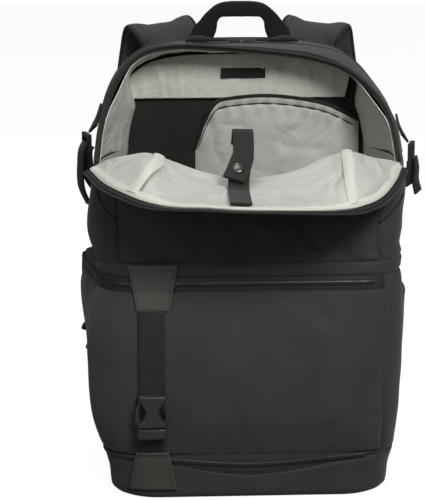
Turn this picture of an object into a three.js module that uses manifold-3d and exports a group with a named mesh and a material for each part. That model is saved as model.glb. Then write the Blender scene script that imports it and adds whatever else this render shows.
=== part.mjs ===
import * as THREE from 'three';
import { mergeVertices } from 'three/addons/utils/BufferGeometryUtils.js';
import Module from 'manifold-3d';

const wasm = await Module();
wasm.setup();

// A camera backpack that stands on its base, with its top compartment unzipped and the lid folded forward.
// Millimetres: x to the viewer's right, y to the rear (the wearer's back), z up from the ground.

// Overall sizes
const bodyHeight = 450;
const bodyWidth = 320;
const bodyDepth = 255;

// Gaps between neighbouring pieces
const seamGap = 0.4;
const clearance = 0.4;

// Thicknesses of cloth and webbing
const paddedWall = 5;
const baseFloor = 5;
const tapeThickness = 2;
const tabThickness = 3;
const webThickness = 2.4;
const liningThickness = 1.4;

// Heights of the seams
const baseSideTop = 46;
const baseBow = 19;
const doorLow = 50;
const doorTop = 222;
const bandBottom = 236;
const bandTop = 250;
const hingeHeight = 342;

// Depths, measured from the rear face of the bag forward
const backPanelThickness = 10;
const laptopDepth = 42;
const dividerThickness = 6;
const dividerFit = 3;

// Corners seen from above
const frontCornerRadius = 46;
const rearCornerRadius = 24;

// Door of the lower compartment
const doorPuff = 7;
const doorSidePuff = 9;
const doorHingeLateral = 137;
const doorRearSetback = 44;
const doorZipWidth = 12;

// Top compartment: depths from the front of the bag back
const hingeSetback = 66;
const rimTopSetback = 154;
const rimLean = 0.095;
const rightSlack = 0.065;
const rightNip = 0.045;
const zipWidth = 7;
const cornerSeamLateral = 134;

// Lid
const lidThickness = 4;
const lidReach = 119;
const lidZipWidth = 6;
const foldRise = 18;
const hemFall = 37;
const lidSag = 6;
const cornerDepth = 52;
const foldFit = 8;
const hemFit = 0.9;

// Handle
const handleBand = 20;
const handleThickness = 5;
const handleRise = 32;
const handleFootSpacing = 84;
const handleSetback = 28;
const handleFootGap = 3;

// Shoulder straps
const shoulderWidth = 66;
const shoulderThickness = 13;
const shoulderReach = 110;
const shoulderStand = 47;
const anchorOut = 128;
const anchorHeight = 78;
const webEndProud = 7;
const lockDrop = 17;
const anchorDrop = 7;

// Front strap column
const webWidth = 26;
const columnLateral = 101;
const tabTopLow = 204;
const tabBottomHigh = 55;
const tabBottomLow = 12;
const buckleTop = 121;
const buckleLength = 36;
const buckleThickness = 11;

// Side straps
const sideWebWidth = 20;
const sideLockStand = 9;
const sideLockDrop = 15;
const sideLockInset = 6.5;

// Rear padding
const padThickness = 9;
const padWidth = 92;
const padHeight = 216;
const padHeightAt = 275;
const padGap = 28;
const lumbarWidth = 218;
const lumbarHeight = 92;
const lumbarHeightAt = 106;

// Interior
const pocketDrop = 52;
const pocketDepth = 15;
const bindingProud = 0.6;
const liningDrop = 59;
const patchWidth = 48;
const patchHeight = 11;
const patchDrop = 31;

// Side pocket
const pocketPuff = 8;
const sidePocketLow = 56;
const sidePocketHigh = 200;
const pocketFrontY = -62;
const pocketRearY = 48;

const rearY = bodyDepth / 2;
const panelFrontY = rearY - backPanelThickness;
const dividerRearY = panelFrontY - laptopDepth;
const dividerFrontY = dividerRearY - dividerThickness;
const sideRearY = dividerRearY;
const hingeY = -rearY + hingeSetback;
const rimTopY = -rearY + rimTopSetback;
const handleY = rearY - handleSetback;
const archRise = bodyHeight - hingeHeight;
const pocketHigh = bodyHeight - pocketDrop;
const liningLow = bodyHeight - liningDrop;
const patchHeightAt = bodyHeight - patchDrop;

const charcoal = new THREE.MeshStandardMaterial({ color: 0x3a3936, roughness: 0.85, metalness: 0 });
const darkWeb = new THREE.MeshStandardMaterial({ color: 0x232826, roughness: 0.7, metalness: 0 });
const paleLining = new THREE.MeshStandardMaterial({ color: 0xc8c7c2, roughness: 0.6, metalness: 0 });
const blackBinding = new THREE.MeshStandardMaterial({ color: 0x1c1d1a, roughness: 0.8, metalness: 0 });
const buckleGrey = new THREE.MeshStandardMaterial({ color: 0x4b504e, roughness: 0.45, metalness: 0 });
const gunmetal = new THREE.MeshStandardMaterial({ color: 0x4a4a48, roughness: 0.35, metalness: 0.9 });

// Horizontal sections of the body, as shares: up of bodyHeight, side of half the width,
// front of half the depth
const sectionRows = [
  { up: 0.0, side: 0.87, front: 0.86 },
  { up: 0.012, side: 0.9, front: 0.9 },
  { up: 0.06, side: 0.915, front: 0.93 },
  { up: 0.105, side: 0.945, front: 0.96 },
  { up: 0.2, side: 0.975, front: 1.0 },
  { up: 0.33, side: 0.985, front: 1.01 },
  { up: 0.45, side: 0.985, front: 0.99 },
  { up: 0.52, side: 0.975, front: 0.955 },
  { up: 0.556, side: 0.985, front: 0.95 },
  { up: 0.62, side: 1.025, front: 0.955 },
  { up: 0.69, side: 1.015, front: 0.93 },
  { up: 0.76, side: 0.985, front: 0.9 },
  { up: 0.85, side: 0.96, front: 0.85 },
];

// Upper outline seen from the front, from the hinge to the crown, as shares of half the width and the height
const archRows = [
  { side: 0.985, up: 0.76 },
  { side: 0.955, up: 0.827 },
  { side: 0.9, up: 0.887 },
  { side: 0.81, up: 0.938 },
  { side: 0.67, up: 0.976 },
  { side: 0.46, up: 0.995 },
  { side: 0.22, up: 1.0 },
];

// The lid by station across, from hinge to hinge. fold, hemDrop and sag are shares of foldRise, hemFall and
// lidSag, rootBack of cornerDepth, reach of lidReach, and edge widens or narrows the hem.
const lidRows = [
  { across: -1.0, fold: 0.0, rootBack: 0.92, reach: 0.13, hemDrop: 0.04, edge: 1.04, sag: 0 },
  { across: -0.93, fold: 0.45, rootBack: 0.58, reach: 0.4, hemDrop: 0.38, edge: 1.02, sag: 0.2 },
  { across: -0.8, fold: 0.83, rootBack: 0.3, reach: 0.68, hemDrop: 0.65, edge: 1.0, sag: 0.3 },
  { across: -0.66, fold: 1.0, rootBack: 0.21, reach: 0.87, hemDrop: 0.82, edge: 1.0, sag: -0.5 },
  { across: -0.5, fold: 0.55, rootBack: 0.13, reach: 0.95, hemDrop: 0.65, edge: 1.0, sag: 1.0 },
  { across: -0.33, fold: 0.05, rootBack: 0.06, reach: 0.98, hemDrop: 0.4, edge: 1.0, sag: 0.7 },
  { across: -0.12, fold: -0.33, rootBack: 0.0, reach: 1.0, hemDrop: 0.25, edge: 1.0, sag: 0.5 },
  { across: 0.1, fold: -0.28, rootBack: 0.0, reach: 1.0, hemDrop: 0.3, edge: 1.0, sag: 0.7 },
  { across: 0.3, fold: 0.05, rootBack: 0.06, reach: 0.98, hemDrop: 0.5, edge: 1.0, sag: 0.8 },
  { across: 0.5, fold: 0.75, rootBack: 0.16, reach: 0.93, hemDrop: 0.88, edge: 1.0, sag: 0.8 },
  { across: 0.64, fold: 1.0, rootBack: 0.21, reach: 0.84, hemDrop: 1.0, edge: 1.0, sag: -0.5 },
  { across: 0.8, fold: 0.6, rootBack: 0.31, reach: 0.62, hemDrop: 0.72, edge: 1.0, sag: 0.3 },
  { across: 0.93, fold: 0.28, rootBack: 0.6, reach: 0.33, hemDrop: 0.35, edge: 1.0, sag: 0.2 },
  { across: 1.0, fold: 0.0, rootBack: 0.92, reach: 0.13, hemDrop: 0.04, edge: 1.0, sag: 0 },
];

// A shoulder strap, by place along it: out as a share of shoulderReach, back as a share of shoulderStand,
// up as a share of bodyHeight, twist of its width in degrees and width as a share of shoulderWidth
const shoulderRows = [
  { out: 0.564, back: 0.17, up: 0.925, twist: 0, width: 0.9 },
  { out: 0.655, back: 0.255, up: 0.98, twist: 4, width: 0.97 },
  { out: 0.764, back: 0.447, up: 1.018, twist: 10, width: 1.0 },
  { out: 0.845, back: 0.745, up: 1.012, twist: 18, width: 1.0 },
  { out: 0.891, back: 0.915, up: 0.955, twist: 16, width: 1.0 },
  { out: 0.945, back: 0.979, up: 0.86, twist: 10, width: 1.0 },
  { out: 1.0, back: 1.0, up: 0.74, twist: 4, width: 1.0 },
  { out: 1.0, back: 0.936, up: 0.6, twist: 0, width: 0.96 },
  { out: 0.955, back: 0.809, up: 0.47, twist: 0, width: 0.88 },
  { out: 0.909, back: 0.702, up: 0.37, twist: 0, width: 0.7 },
];

// The handle's middle line: out as a share of half the foot spacing, up of handleRise
const handleRows = [
  { out: -1.0, up: 0.0 },
  { out: -0.985, up: 0.14 },
  { out: -0.88, up: 0.38 },
  { out: -0.76, up: 0.7 },
  { out: -0.56, up: 0.94 },
  { out: -0.26, up: 1.0 },
  { out: 0.0, up: 1.0 },
  { out: 0.26, up: 1.0 },
  { out: 0.56, up: 0.94 },
  { out: 0.76, up: 0.7 },
  { out: 0.88, up: 0.38 },
  { out: 0.985, up: 0.14 },
  { out: 1.0, up: 0.0 },
];

// The organiser pocket's top edge, from its left end to its right end, as shares of pocketHigh
const pocketRows = [
  { across: -1.0, up: 0.885 },
  { across: -0.88, up: 0.945 },
  { across: -0.76, up: 0.98 },
  { across: -0.56, up: 0.993 },
  { across: -0.15, up: 1.0 },
  { across: 0.3, up: 0.99 },
  { across: 0.62, up: 0.972 },
  { across: 1.0, up: 0.927 },
];

// Side straps: a web's out from the side wall, back from the middle, up from the hinge as a share of
// archRise and turn of its width outward. Its last row ends in the ladder-lock. A tail's out and up are
// from the middle of the lock that it hangs from.
const leftWebRows = [
  { out: 4.2, back: 36, up: 0.389, turn: 0 },
  { out: 4.4, back: 26, up: 0.333, turn: 0.05 },
  { out: 6, back: 15, up: 0.231, turn: 0.2 },
];
const leftTailRows = [
  { out: 4, back: 4, up: 3, turn: 0.3 },
  { out: 8, back: 3, up: -5, turn: 0.35 },
  { out: 9.5, back: 3, up: -21, turn: 0.4 },
  { out: 9, back: 3, up: -45, turn: 0.4 },
  { out: 2, back: 4, up: -63, turn: 0.3 },
];
const rightWebRows = [
  { out: 2.2, back: 38, up: 0.259, turn: 0 },
  { out: 2.6, back: 28, up: 0.204, turn: 0.05 },
  { out: 6, back: 17, up: 0.111, turn: 0.2 },
];
const rightTailRows = [
  { out: 6, back: 4, up: -3, turn: 0.3 },
  { out: 7.5, back: 4, up: -15, turn: 0.4 },
  { out: 7, back: 5, up: -28, turn: 0.5 },
  { out: 10, back: 6, up: -41, turn: 0.6 },
];

// Cord pulls of the laptop zip and the door zip, by place along them
const pullRows = [
  { out: 15, up: 0.0, radius: 1.3 },
  { out: 26, up: 0.2, radius: 1.5 },
  { out: 38, up: 0.8, radius: 2.2 },
  { out: 48, up: 1.6, radius: 3.6 },
  { out: 57, up: 0.6, radius: 3.4 },
  { out: 61, up: -0.4, radius: 2.0 },
];
const doorPullRows = [
  { out: 2.6, up: 3, radius: 2.6 },
  { out: 9, up: 2, radius: 3.2 },
  { out: 16, up: -3, radius: 3.4 },
  { out: 19, up: -8, radius: 2.6 },
];

// The standing loop of the snap strap: x from the strap's line, back from the front wall,
// up from the hinge height
const snapLoopRows = [
  { x: 8, back: 10, up: 14 },
  { x: 11, back: 15, up: 28 },
  { x: 12, back: 20, up: 34 },
  { x: 12, back: 25, up: 29 },
  { x: 11, back: 25, up: 12 },
];

// Cross sections of a flat strap and of a padded strap, as shares of half the width and thickness
const flatSection = [[-1, -1], [1, -1], [1, 1], [-1, 1]];
const padSection = [
  [-1, 0], [-0.93, -0.62], [-0.72, -1], [0.72, -1], [0.93, -0.62],
  [1, 0], [0.93, 0.62], [0.72, 1], [-0.72, 1], [-0.93, 0.62],
];

const vector = (x, y, z) => new THREE.Vector3(x, y, z);
const smooth = (t) => t * t * (3 - 2 * t);
const clamp = (value, low, high) => Math.min(high, Math.max(low, value));

// Smooth interpolation of one column of a table against its key column
function fromRows(rows, key, value, column) {
  const last = rows.length - 1;
  let i = 0;
  while (i < last - 1 && value > rows[i + 1][key]) i += 1;
  const a = rows[i];
  const b = rows[i + 1];
  const before = rows[Math.max(0, i - 1)];
  const after = rows[Math.min(last, i + 2)];
  const span = b[key] - a[key];
  const t = clamp((value - a[key]) / span, 0, 1);
  const slopeA = ((b[column] - before[column]) / (b[key] - before[key])) * span;
  const slopeB = ((after[column] - a[column]) / (after[key] - a[key])) * span;
  const t2 = t * t;
  const t3 = t2 * t;
  return (2 * t3 - 3 * t2 + 1) * a[column] + (t3 - 2 * t2 + t) * slopeA
    + (3 * t2 - 2 * t3) * b[column] + (t3 - t2) * slopeB;
}

// A closed body from its vertices and triangles, turned so that its faces point out
function bodyFrom(points, faces) {
  let volume = 0;
  for (const [a, b, c] of faces) volume += points[a].dot(points[b].clone().cross(points[c]));
  const index = [];
  for (const [a, b, c] of faces) index.push(a, volume > 0 ? b : c, volume > 0 ? c : b);
  const geometry = new THREE.BufferGeometry();
  geometry.setAttribute('position', new THREE.Float32BufferAttribute(points.flatMap((p) => p.toArray()), 3));
  geometry.setIndex(index);
  return geometry;
}

// A sheet with thickness: two matching grids of points, joined round their edges
function sheetBody(outer, inner) {
  const ni = outer.length;
  const nj = outer[0].length;
  const points = [...outer.flat(), ...inner.flat()];
  const o = (i, j) => i * nj + j;
  const n = (i, j) => ni * nj + i * nj + j;
  const faces = [];
  const quad = (a, b, c, d) => faces.push([a, b, c], [a, c, d]);
  for (let i = 0; i < ni - 1; i += 1) {
    for (let j = 0; j < nj - 1; j += 1) {
      quad(o(i, j), o(i + 1, j), o(i + 1, j + 1), o(i, j + 1));
      quad(n(i, j), n(i, j + 1), n(i + 1, j + 1), n(i + 1, j));
    }
    quad(o(i + 1, 0), o(i, 0), n(i, 0), n(i + 1, 0));
    quad(o(i, nj - 1), o(i + 1, nj - 1), n(i + 1, nj - 1), n(i, nj - 1));
  }
  for (let j = 0; j < nj - 1; j += 1) {
    quad(o(0, j), o(0, j + 1), n(0, j + 1), n(0, j));
    quad(o(ni - 1, j + 1), o(ni - 1, j), n(ni - 1, j), n(ni - 1, j + 1));
  }
  return bodyFrom(points, faces);
}

// A body through a row of rings with equal numbers of points, closed by a fan at each end
function loftBody(rings) {
  const count = rings[0].length;
  const points = rings.flat();
  const faces = [];
  for (let k = 0; k < rings.length - 1; k += 1) {
    for (let i = 0; i < count; i += 1) {
      const next = (i + 1) % count;
      const a = k * count + i;
      const b = k * count + next;
      faces.push([a, b, b + count], [a, b + count, a + count]);
    }
  }
  const fan = (ring, start, flip) => {
    const middle = new THREE.Vector3();
    for (const p of ring) middle.addScaledVector(p, 1 / count);
    points.push(middle);
    const centre = points.length - 1;
    for (let i = 0; i < count; i += 1) {
      const next = (i + 1) % count;
      faces.push(flip ? [centre, start + next, start + i] : [centre, start + i, start + next]);
    }
  };
  fan(rings[0], 0, true);
  fan(rings.at(-1), (rings.length - 1) * count, false);
  return bodyFrom(points, faces);
}

// Section of the body at a height
function sectionAt(z) {
  const up = z / bodyHeight;
  return {
    side: (fromRows(sectionRows, 'up', up, 'side') * bodyWidth) / 2,
    front: (fromRows(sectionRows, 'up', up, 'front') * bodyDepth) / 2,
  };
}

// The right side bulges at the height of the hinges, where the open compartment spreads, and is nipped
// in below, where it folds over the mid seam
function settle(point) {
  if (point.x <= 0) return point;
  const rise = smooth(clamp((point.z / bodyHeight - 0.59) / 0.18, 0, 1));
  const fall = 1 - smooth(clamp((point.z / bodyHeight - 0.83) / 0.13, 0, 1));
  const nip = smooth(clamp((point.z / bodyHeight - 0.552) / 0.035, 0, 1));
  const open = 1 - smooth(clamp((point.z / bodyHeight - 0.63) / 0.1, 0, 1));
  const ahead = 1 - smooth(clamp(point.y / sideRearY - 0.1, 0, 1));
  const behind = smooth(clamp((point.y - hingeY) / (sideRearY - hingeY) / 0.6, 0, 1));
  point.x *= 1 + rightSlack * rise * fall * behind - rightNip * nip * open * ahead;
  return point;
}

// Arc length from the middle of the front round to the rear end of a side wall
function lateralEnd(z, endY) {
  const { side, front } = sectionAt(z);
  const corner = (frontCornerRadius * Math.PI) / 2;
  return side - frontCornerRadius + corner + endY + front - frontCornerRadius;
}

// A point of the body wall: lateral is the arc length from the middle of the front, out the offset
function wallPoint(lateral, z, out) {
  const { side, front } = sectionAt(z);
  const hand = Math.sign(lateral) || 1;
  const along = Math.abs(lateral);
  const flat = side - frontCornerRadius;
  const corner = (frontCornerRadius * Math.PI) / 2;
  if (along <= flat) return settle(new THREE.Vector3(lateral, -front - out, z));
  if (along <= flat + corner) {
    const angle = (along - flat) / frontCornerRadius;
    const reach = frontCornerRadius + out;
    return settle(new THREE.Vector3(hand * (flat + reach * Math.sin(angle)),
      -front + frontCornerRadius - reach * Math.cos(angle), z));
  }
  const y = -front + frontCornerRadius + along - flat - corner;
  return settle(new THREE.Vector3(hand * (side + out), y, z));
}

// Shares of a wall panel's length, closer together round the corners. Given marks are used as they are,
// and extra ones are added to the corners' own.
function lateralShares(from, to, z, straightStep, marks, extra = []) {
  const { side } = sectionAt(z);
  const flat = side - frontCornerRadius;
  const corner = (frontCornerRadius * Math.PI) / 2;
  const wanted = marks ?? [-flat - corner, -flat, flat, flat + corner, ...extra];
  const inside = wanted.filter((mark) => mark > from + 3 && mark < to - 3).sort((a, b) => a - b);
  const ends = [from, ...inside, to];
  if (marks) return ends.map((lateral) => (lateral - from) / (to - from));
  const cornerStep = 13;
  const stations = [];
  for (let k = 0; k < ends.length - 1; k += 1) {
    const middle = Math.abs((ends[k] + ends[k + 1]) / 2);
    const step = middle > flat && middle < flat + corner ? cornerStep : straightStep;
    const steps = Math.max(1, Math.round((ends[k + 1] - ends[k]) / step));
    for (let i = 0; i < steps; i += 1) stations.push(ends[k] + ((ends[k + 1] - ends[k]) * i) / steps);
  }
  stations.push(to);
  return stations.map((lateral) => (lateral - from) / (to - from));
}

// A panel of the body wall between two laterals and two heights, each a number or a function
function wallPanel({ from, to, low, high, rows, thickness, step = 34, swell, standoff = 0, marks, extra }) {
  const value = (given, at) => (typeof given === 'function' ? given(at) : given);
  const middle = (value(low, 0) + value(high, 0)) / 2;
  const nearFrom = value(from, middle);
  const nearTo = value(to, middle);
  const shares = lateralShares(nearFrom, nearTo, middle, step, marks, extra);
  const outer = [];
  const inner = [];
  for (const u of shares) {
    const near = nearFrom + (nearTo - nearFrom) * u;
    const zLow = value(low, near) + seamGap / 2;
    const zHigh = value(high, near) - seamGap / 2;
    const outerLine = [];
    const innerLine = [];
    for (let j = 0; j <= rows; j += 1) {
      const z = zLow + ((zHigh - zLow) * j) / rows;
      const start = value(from, z) + seamGap / 2;
      const end = value(to, z) - seamGap / 2;
      const lateral = start + (end - start) * u;
      const out = (swell ? swell(lateral, z) : 0) + standoff;
      outerLine.push(wallPoint(lateral, z, out));
      innerLine.push(wallPoint(lateral, z, out - thickness));
    }
    outer.push(outerLine);
    inner.push(innerLine);
  }
  return sheetBody(outer, inner);
}

const bulge = (t) => 1 - Math.abs(2 * t - 1) ** 3;
const mix = (a, b, t) => a + (b - a) * t;

// Laterals of the base's edge, shared by the base and the zip strip above it
const baseFlat = sectionAt(baseSideTop).side - frontCornerRadius;
const cornerLength = (frontCornerRadius * Math.PI) / 2;
const baseMarks = [];
for (let i = -4; i <= 4; i += 1) baseMarks.push((baseFlat * i) / 4);
for (let i = 1; i <= 5; i += 1) {
  baseMarks.push(baseFlat + (cornerLength * i) / 5);
  baseMarks.unshift(-baseFlat - (cornerLength * i) / 5);
}

// Top edge of the base, which dips across the front under the door's lower zip
function baseTop(lateral) {
  const share = clamp(Math.abs(lateral) / (baseFlat + cornerLength * 0.4), 0, 1);
  return baseSideTop - baseBow * (1 - smooth(share));
}

const sideEnd = (z) => lateralEnd(z, sideRearY);
const doorStart = (z) => -lateralEnd(z, sideRearY - doorRearSetback);

// One closed ring of the base: topShare is how far it has risen from lowZ to the top edge
function baseRing(lowZ, out, topShare) {
  const ring = [];
  const rearSteps = 4;
  const rearCorner = (hand) => {
    const z = mix(lowZ, baseSideTop - seamGap / 2, topShare);
    const { side } = sectionAt(z);
    const arc = [];
    for (let i = 0; i <= rearSteps; i += 1) {
      const angle = (Math.PI / 2) * (i / rearSteps);
      const reach = rearCornerRadius + out;
      arc.push(new THREE.Vector3(hand * (side - rearCornerRadius + reach * Math.cos(angle)),
        rearY - rearCornerRadius + reach * Math.sin(angle), z));
    }
    return arc;
  };
  ring.push(...rearCorner(-1).reverse());
  for (const lateral of baseMarks) {
    const z = mix(lowZ, baseTop(lateral) - seamGap / 2, topShare);
    ring.push(wallPoint(lateral, z, out));
  }
  ring.push(...rearCorner(1));
  return ring;
}

function baseTub() {
  const lowRound = 6;
  return loftBody([
    baseRing(0, 0, 0),
    baseRing(lowRound, 0, 0),
    baseRing(lowRound, 0, 0.5),
    baseRing(lowRound, 0, 1),
    baseRing(lowRound, -paddedWall, 1),
    baseRing(baseFloor + 2, -paddedWall, 0),
    baseRing(baseFloor, -paddedWall - 3, 0),
  ]);
}

// How far the padded door stands proud of the body wall
function doorSwell(lateral, z) {
  const start = doorStart(z);
  const u = (lateral - start) / (doorHingeLateral - start);
  const v = (z - doorLow) / (doorTop - doorLow);
  if (u < 0 || u > 1 || v < 0 || v > 1) return 0;
  return mix(doorSidePuff, doorPuff, smooth(clamp(u * 1.6, 0, 1))) * bulge(u) * bulge(v);
}

// Floor between the two compartments, fitted inside the walls
function dividerFloor() {
  const ringAt = (z) => {
    const inset = -(paddedWall + clearance);
    const corners = sectionAt(z).side - frontCornerRadius;
    const laterals = [];
    for (let i = 0; i <= 4; i += 1) laterals.push(corners + (cornerLength * i) / 4);
    const ring = [...laterals].reverse().map((lateral) => wallPoint(-lateral, z, inset));
    ring.push(...laterals.map((lateral) => wallPoint(lateral, z, inset)));
    const back = dividerFrontY - clearance;
    ring.push(new THREE.Vector3(ring.at(-1).x, back, z), new THREE.Vector3(ring[0].x, back, z));
    return ring;
  };
  const low = bandBottom + 3;
  return loftBody([ringAt(low), ringAt(low + paddedWall)]);
}

// The upper outline as a curve from the left hinge over the crown to the right hinge
const archSide = (hand) => archRows.map((row) =>
  new THREE.Vector3((hand * row.side * bodyWidth) / 2, 0, row.up * bodyHeight));
const archLeft = archSide(-1);
const archRight = archSide(1);
const arch = new THREE.CatmullRomCurve3([...archLeft, ...archRight.reverse()], false, 'centripetal');
arch.arcLengthDivisions = 800;

function archPoint(share, y, out) {
  const p = arch.getPointAt(share);
  const t = arch.getTangentAt(share);
  return settle(new THREE.Vector3(p.x - t.z * out, y, p.z + t.x * out));
}

// Front edge of the side walls and crown: a slanted plane from the hinges to the crown
function rimY(z) {
  const share = clamp((z - hingeHeight) / archRise, 0, 1);
  return mix(hingeY, rimTopY, share);
}

// The front of the crown sags to the right
function leanDrop(p) {
  const near = clamp((sideRearY - p.y) / (sideRearY - rimTopY), 0, 1);
  const high = clamp((p.z - hingeHeight) / archRise, 0, 1);
  return -rimLean * p.x * near ** 2 * high;
}

// A band along the upper outline, between two depths that depend on the height
function archBand({ frontEdge, rearEdge, count, rows, thickness, standoff = 0 }) {
  const outer = [];
  const inner = [];
  for (let i = 0; i <= count; i += 1) {
    const share = i / count;
    const height = arch.getPointAt(share).z;
    const end = i === 0 || i === count;
    const front = frontEdge(height) + seamGap / 2;
    const rear = rearEdge(height) - seamGap / 2;
    const outerLine = [];
    const innerLine = [];
    for (let j = 0; j <= rows; j += 1) {
      const y = mix(front, rear, j / rows);
      const a = archPoint(share, y, standoff);
      const b = archPoint(share, y, standoff - thickness);
      const drop = leanDrop(a);
      a.z = end ? height + seamGap : a.z + drop;
      b.z = end ? height + seamGap : b.z + drop;
      outerLine.push(a);
      innerLine.push(b);
    }
    outer.push(outerLine);
    inner.push(innerLine);
  }
  return sheetBody(outer, inner);
}

// Outline of the whole bag from the front, from the base's edge up, over and down
const outlineShares = [0.14, 0.26, 0.4, 0.52, 0.6, 0.68];
const outlineArchSteps = 20;

function bagOutline(bottom, inset) {
  const heights = [bottom, ...outlineShares.map((share) => share * bodyHeight)];
  const line = heights.map((z) => [-sectionAt(z).side + inset, z]);
  for (let i = 0; i <= outlineArchSteps; i += 1) {
    const p = archPoint(i / outlineArchSteps, sideRearY, -inset);
    line.push([p.x, p.z]);
  }
  for (const z of heights.reverse()) {
    line.push([settle(vector(sectionAt(z).side - inset, sideRearY, z)).x, z]);
  }
  return line;
}

function outlinePlate({ bottom, inset, front, rear, edge }) {
  const ring = (more, y) => bagOutline(bottom + more, inset + more)
    .map(([x, z]) => new THREE.Vector3(x, y, z));
  return loftBody([ring(edge, front), ring(0, front + edge), ring(0, rear - edge), ring(edge, rear)]);
}

// A band that follows the bag's outline all the way, between two depths
function outlineBand({ front, rear, inset, thickness }) {
  const bottom = baseSideTop + seamGap / 2;
  const outsideLine = bagOutline(bottom, inset);
  const insideLine = bagOutline(bottom, inset + thickness);
  const line = (points) => points.map(([x, z]) => [front, rear].map((y) => new THREE.Vector3(x, y, z)));
  return sheetBody(line(outsideLine), line(insideLine));
}

// The lid, folded forward: across runs from -1 at the left hinge to 1, outward from 0 at
// the fold to 1 at the hem
const lidHalf = sectionAt(hingeHeight).side - 3;
const lidFront = sectionAt(hingeHeight).front;

function lidPoint(across, outward) {
  const col = (name) => fromRows(lidRows, 'across', across, name);
  const x = across * lidHalf * mix(1, col('edge'), outward);
  const y = -lidFront + col('rootBack') * cornerDepth - col('reach') * lidReach * outward;
  const dip = col('sag') * lidSag * Math.sin(Math.PI * clamp(outward, 0, 1));
  const z = hingeHeight + col('fold') * foldRise - col('hemDrop') * hemFall * outward ** 1.6 - dip;
  return new THREE.Vector3(x, y, z);
}

function lidNormal(across, outward) {
  const step = 0.01;
  const a = clamp(across, -1 + step, 1 - step);
  const b = clamp(outward, step, 1 - step);
  const du = lidPoint(a + step, b).sub(lidPoint(a - step, b));
  const dv = lidPoint(a, b + step).sub(lidPoint(a, b - step));
  const normal = dv.cross(du).normalize();
  return normal.z < 0 ? normal.negate() : normal;
}

const lidOn = (across, outward, lift) =>
  lidPoint(across, outward).addScaledVector(lidNormal(across, outward), lift);

function lidGrid(acrossSteps, outSteps, lift) {
  const grid = [];
  for (let i = 0; i <= acrossSteps; i += 1) {
    const line = [];
    for (let j = 0; j <= outSteps; j += 1) line.push(lidOn(-1 + (2 * i) / acrossSteps, j / outSteps, lift));
    grid.push(line);
  }
  return grid;
}

// Points beside the lid's hem, beyond it by a distance and lifted along the lid's normal
function hemGrid(steps, near, far, lift) {
  const grid = [];
  for (let i = 0; i <= steps; i += 1) {
    const across = -1 + (2 * i) / steps;
    const step = 0.02;
    const a = clamp(across, -1 + step, 1 - step);
    const tangent = lidPoint(a + step, 1).sub(lidPoint(a - step, 1)).normalize();
    const normal = lidNormal(across, 1);
    const away = tangent.cross(normal).normalize();
    if (away.y > 0) away.negate();
    const edge = lidOn(across, 1, lift);
    grid.push([near, far].map((d) => edge.clone().addScaledVector(away, d)));
  }
  return grid;
}

// Top edge of the upper walls: under the lid's fold in front, level with the hinges at the sides
const hingeLateral = lateralEnd(hingeHeight, hingeY + seamGap);

function wallTop(lateral) {
  const point = wallPoint(lateral, hingeHeight, 0);
  const across = clamp(point.x / lidHalf, -1, 1);
  const fold = fromRows(lidRows, 'across', across, 'fold') * foldRise;
  const underLid = hingeHeight + fold - lidThickness - foldFit;
  return mix(underLid, hingeHeight, smooth(clamp((Math.abs(lateral) - hingeLateral) / 5, 0, 1)));
}

// A flat strap through a row of stations, each with its place and the direction of its width
function strapBody(stations, width, thickness, section = flatSection) {
  const rings = stations.map((station, i) => {
    const before = stations[Math.max(0, i - 1)].at;
    const after = stations[Math.min(stations.length - 1, i + 1)].at;
    const along = after.clone().sub(before).normalize();
    const across = station.across.clone();
    across.addScaledVector(along, -across.dot(along)).normalize();
    const up = along.clone().cross(across).normalize();
    const half = (width * (station.width ?? 1)) / 2;
    const deep = (thickness * (station.depth ?? 1)) / 2;
    return section.map(([a, b]) => station.at.clone()
      .addScaledVector(across, a * half)
      .addScaledVector(up, b * deep));
  });
  return loftBody(rings);
}

// Stations along a smooth curve through table rows that give x, y and z
function stationsThrough(points, count, across) {
  const curve = new THREE.CatmullRomCurve3(points, false, 'centripetal');
  const stations = [];
  for (let i = 0; i <= count; i += 1) {
    const share = i / count;
    stations.push({ at: curve.getPointAt(share), across: across(share, curve.getTangentAt(share)), share });
  }
  return stations;
}

// A flat piece that lies on the front of the bag, between two heights, with its own half width at each
function lyingPiece({ centre, high, low, halfHigh, halfLow, rows, lift, thickness }) {
  const outer = [];
  const inner = [];
  const columns = 4;
  for (let i = 0; i <= columns; i += 1) {
    const side = (2 * i) / columns - 1;
    const outerLine = [];
    const innerLine = [];
    for (let j = 0; j <= rows; j += 1) {
      const z = mix(low, high, j / rows);
      const lateral = centre + side * mix(halfLow, halfHigh, j / rows);
      const standoff = doorSwell(lateral, z) + lift;
      outerLine.push(wallPoint(lateral, z, standoff + thickness));
      innerLine.push(wallPoint(lateral, z, standoff));
    }
    outer.push(outerLine);
    inner.push(innerLine);
  }
  return sheetBody(outer, inner);
}

// A pad with rounded corners and a rounded face, standing on the rear of the back panel
function backPad(centreX, centreZ, width, height) {
  const radius = 22;
  const edge = 6;
  const ring = (inset, y) => {
    const points = [];
    const corners = [[1, 1], [-1, 1], [-1, -1], [1, -1]];
    corners.forEach(([sx, sz], k) => {
      for (let i = 0; i <= 3; i += 1) {
        const angle = (Math.PI / 2) * (k + i / 3);
        const x = centreX + sx * (width / 2 - radius) + (radius - inset) * Math.cos(angle);
        const z = centreZ + sz * (height / 2 - radius) + (radius - inset) * Math.sin(angle);
        points.push(new THREE.Vector3(x, y, z));
      }
    });
    return points;
  };
  const near = rearY + clearance;
  return loftBody([
    ring(2, near), ring(0, near + edge / 2),
    ring(1, near + padThickness - 3), ring(edge, near + padThickness),
  ]);
}

const xAxis = new THREE.Vector3(1, 0, 0);
const yAxis = new THREE.Vector3(0, 1, 0);
const zAxis = new THREE.Vector3(0, 0, 1);

const boxAt = (x, y, z, width, depth, height) =>
  new THREE.BoxGeometry(width, depth, height).translate(x, y, z);

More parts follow.
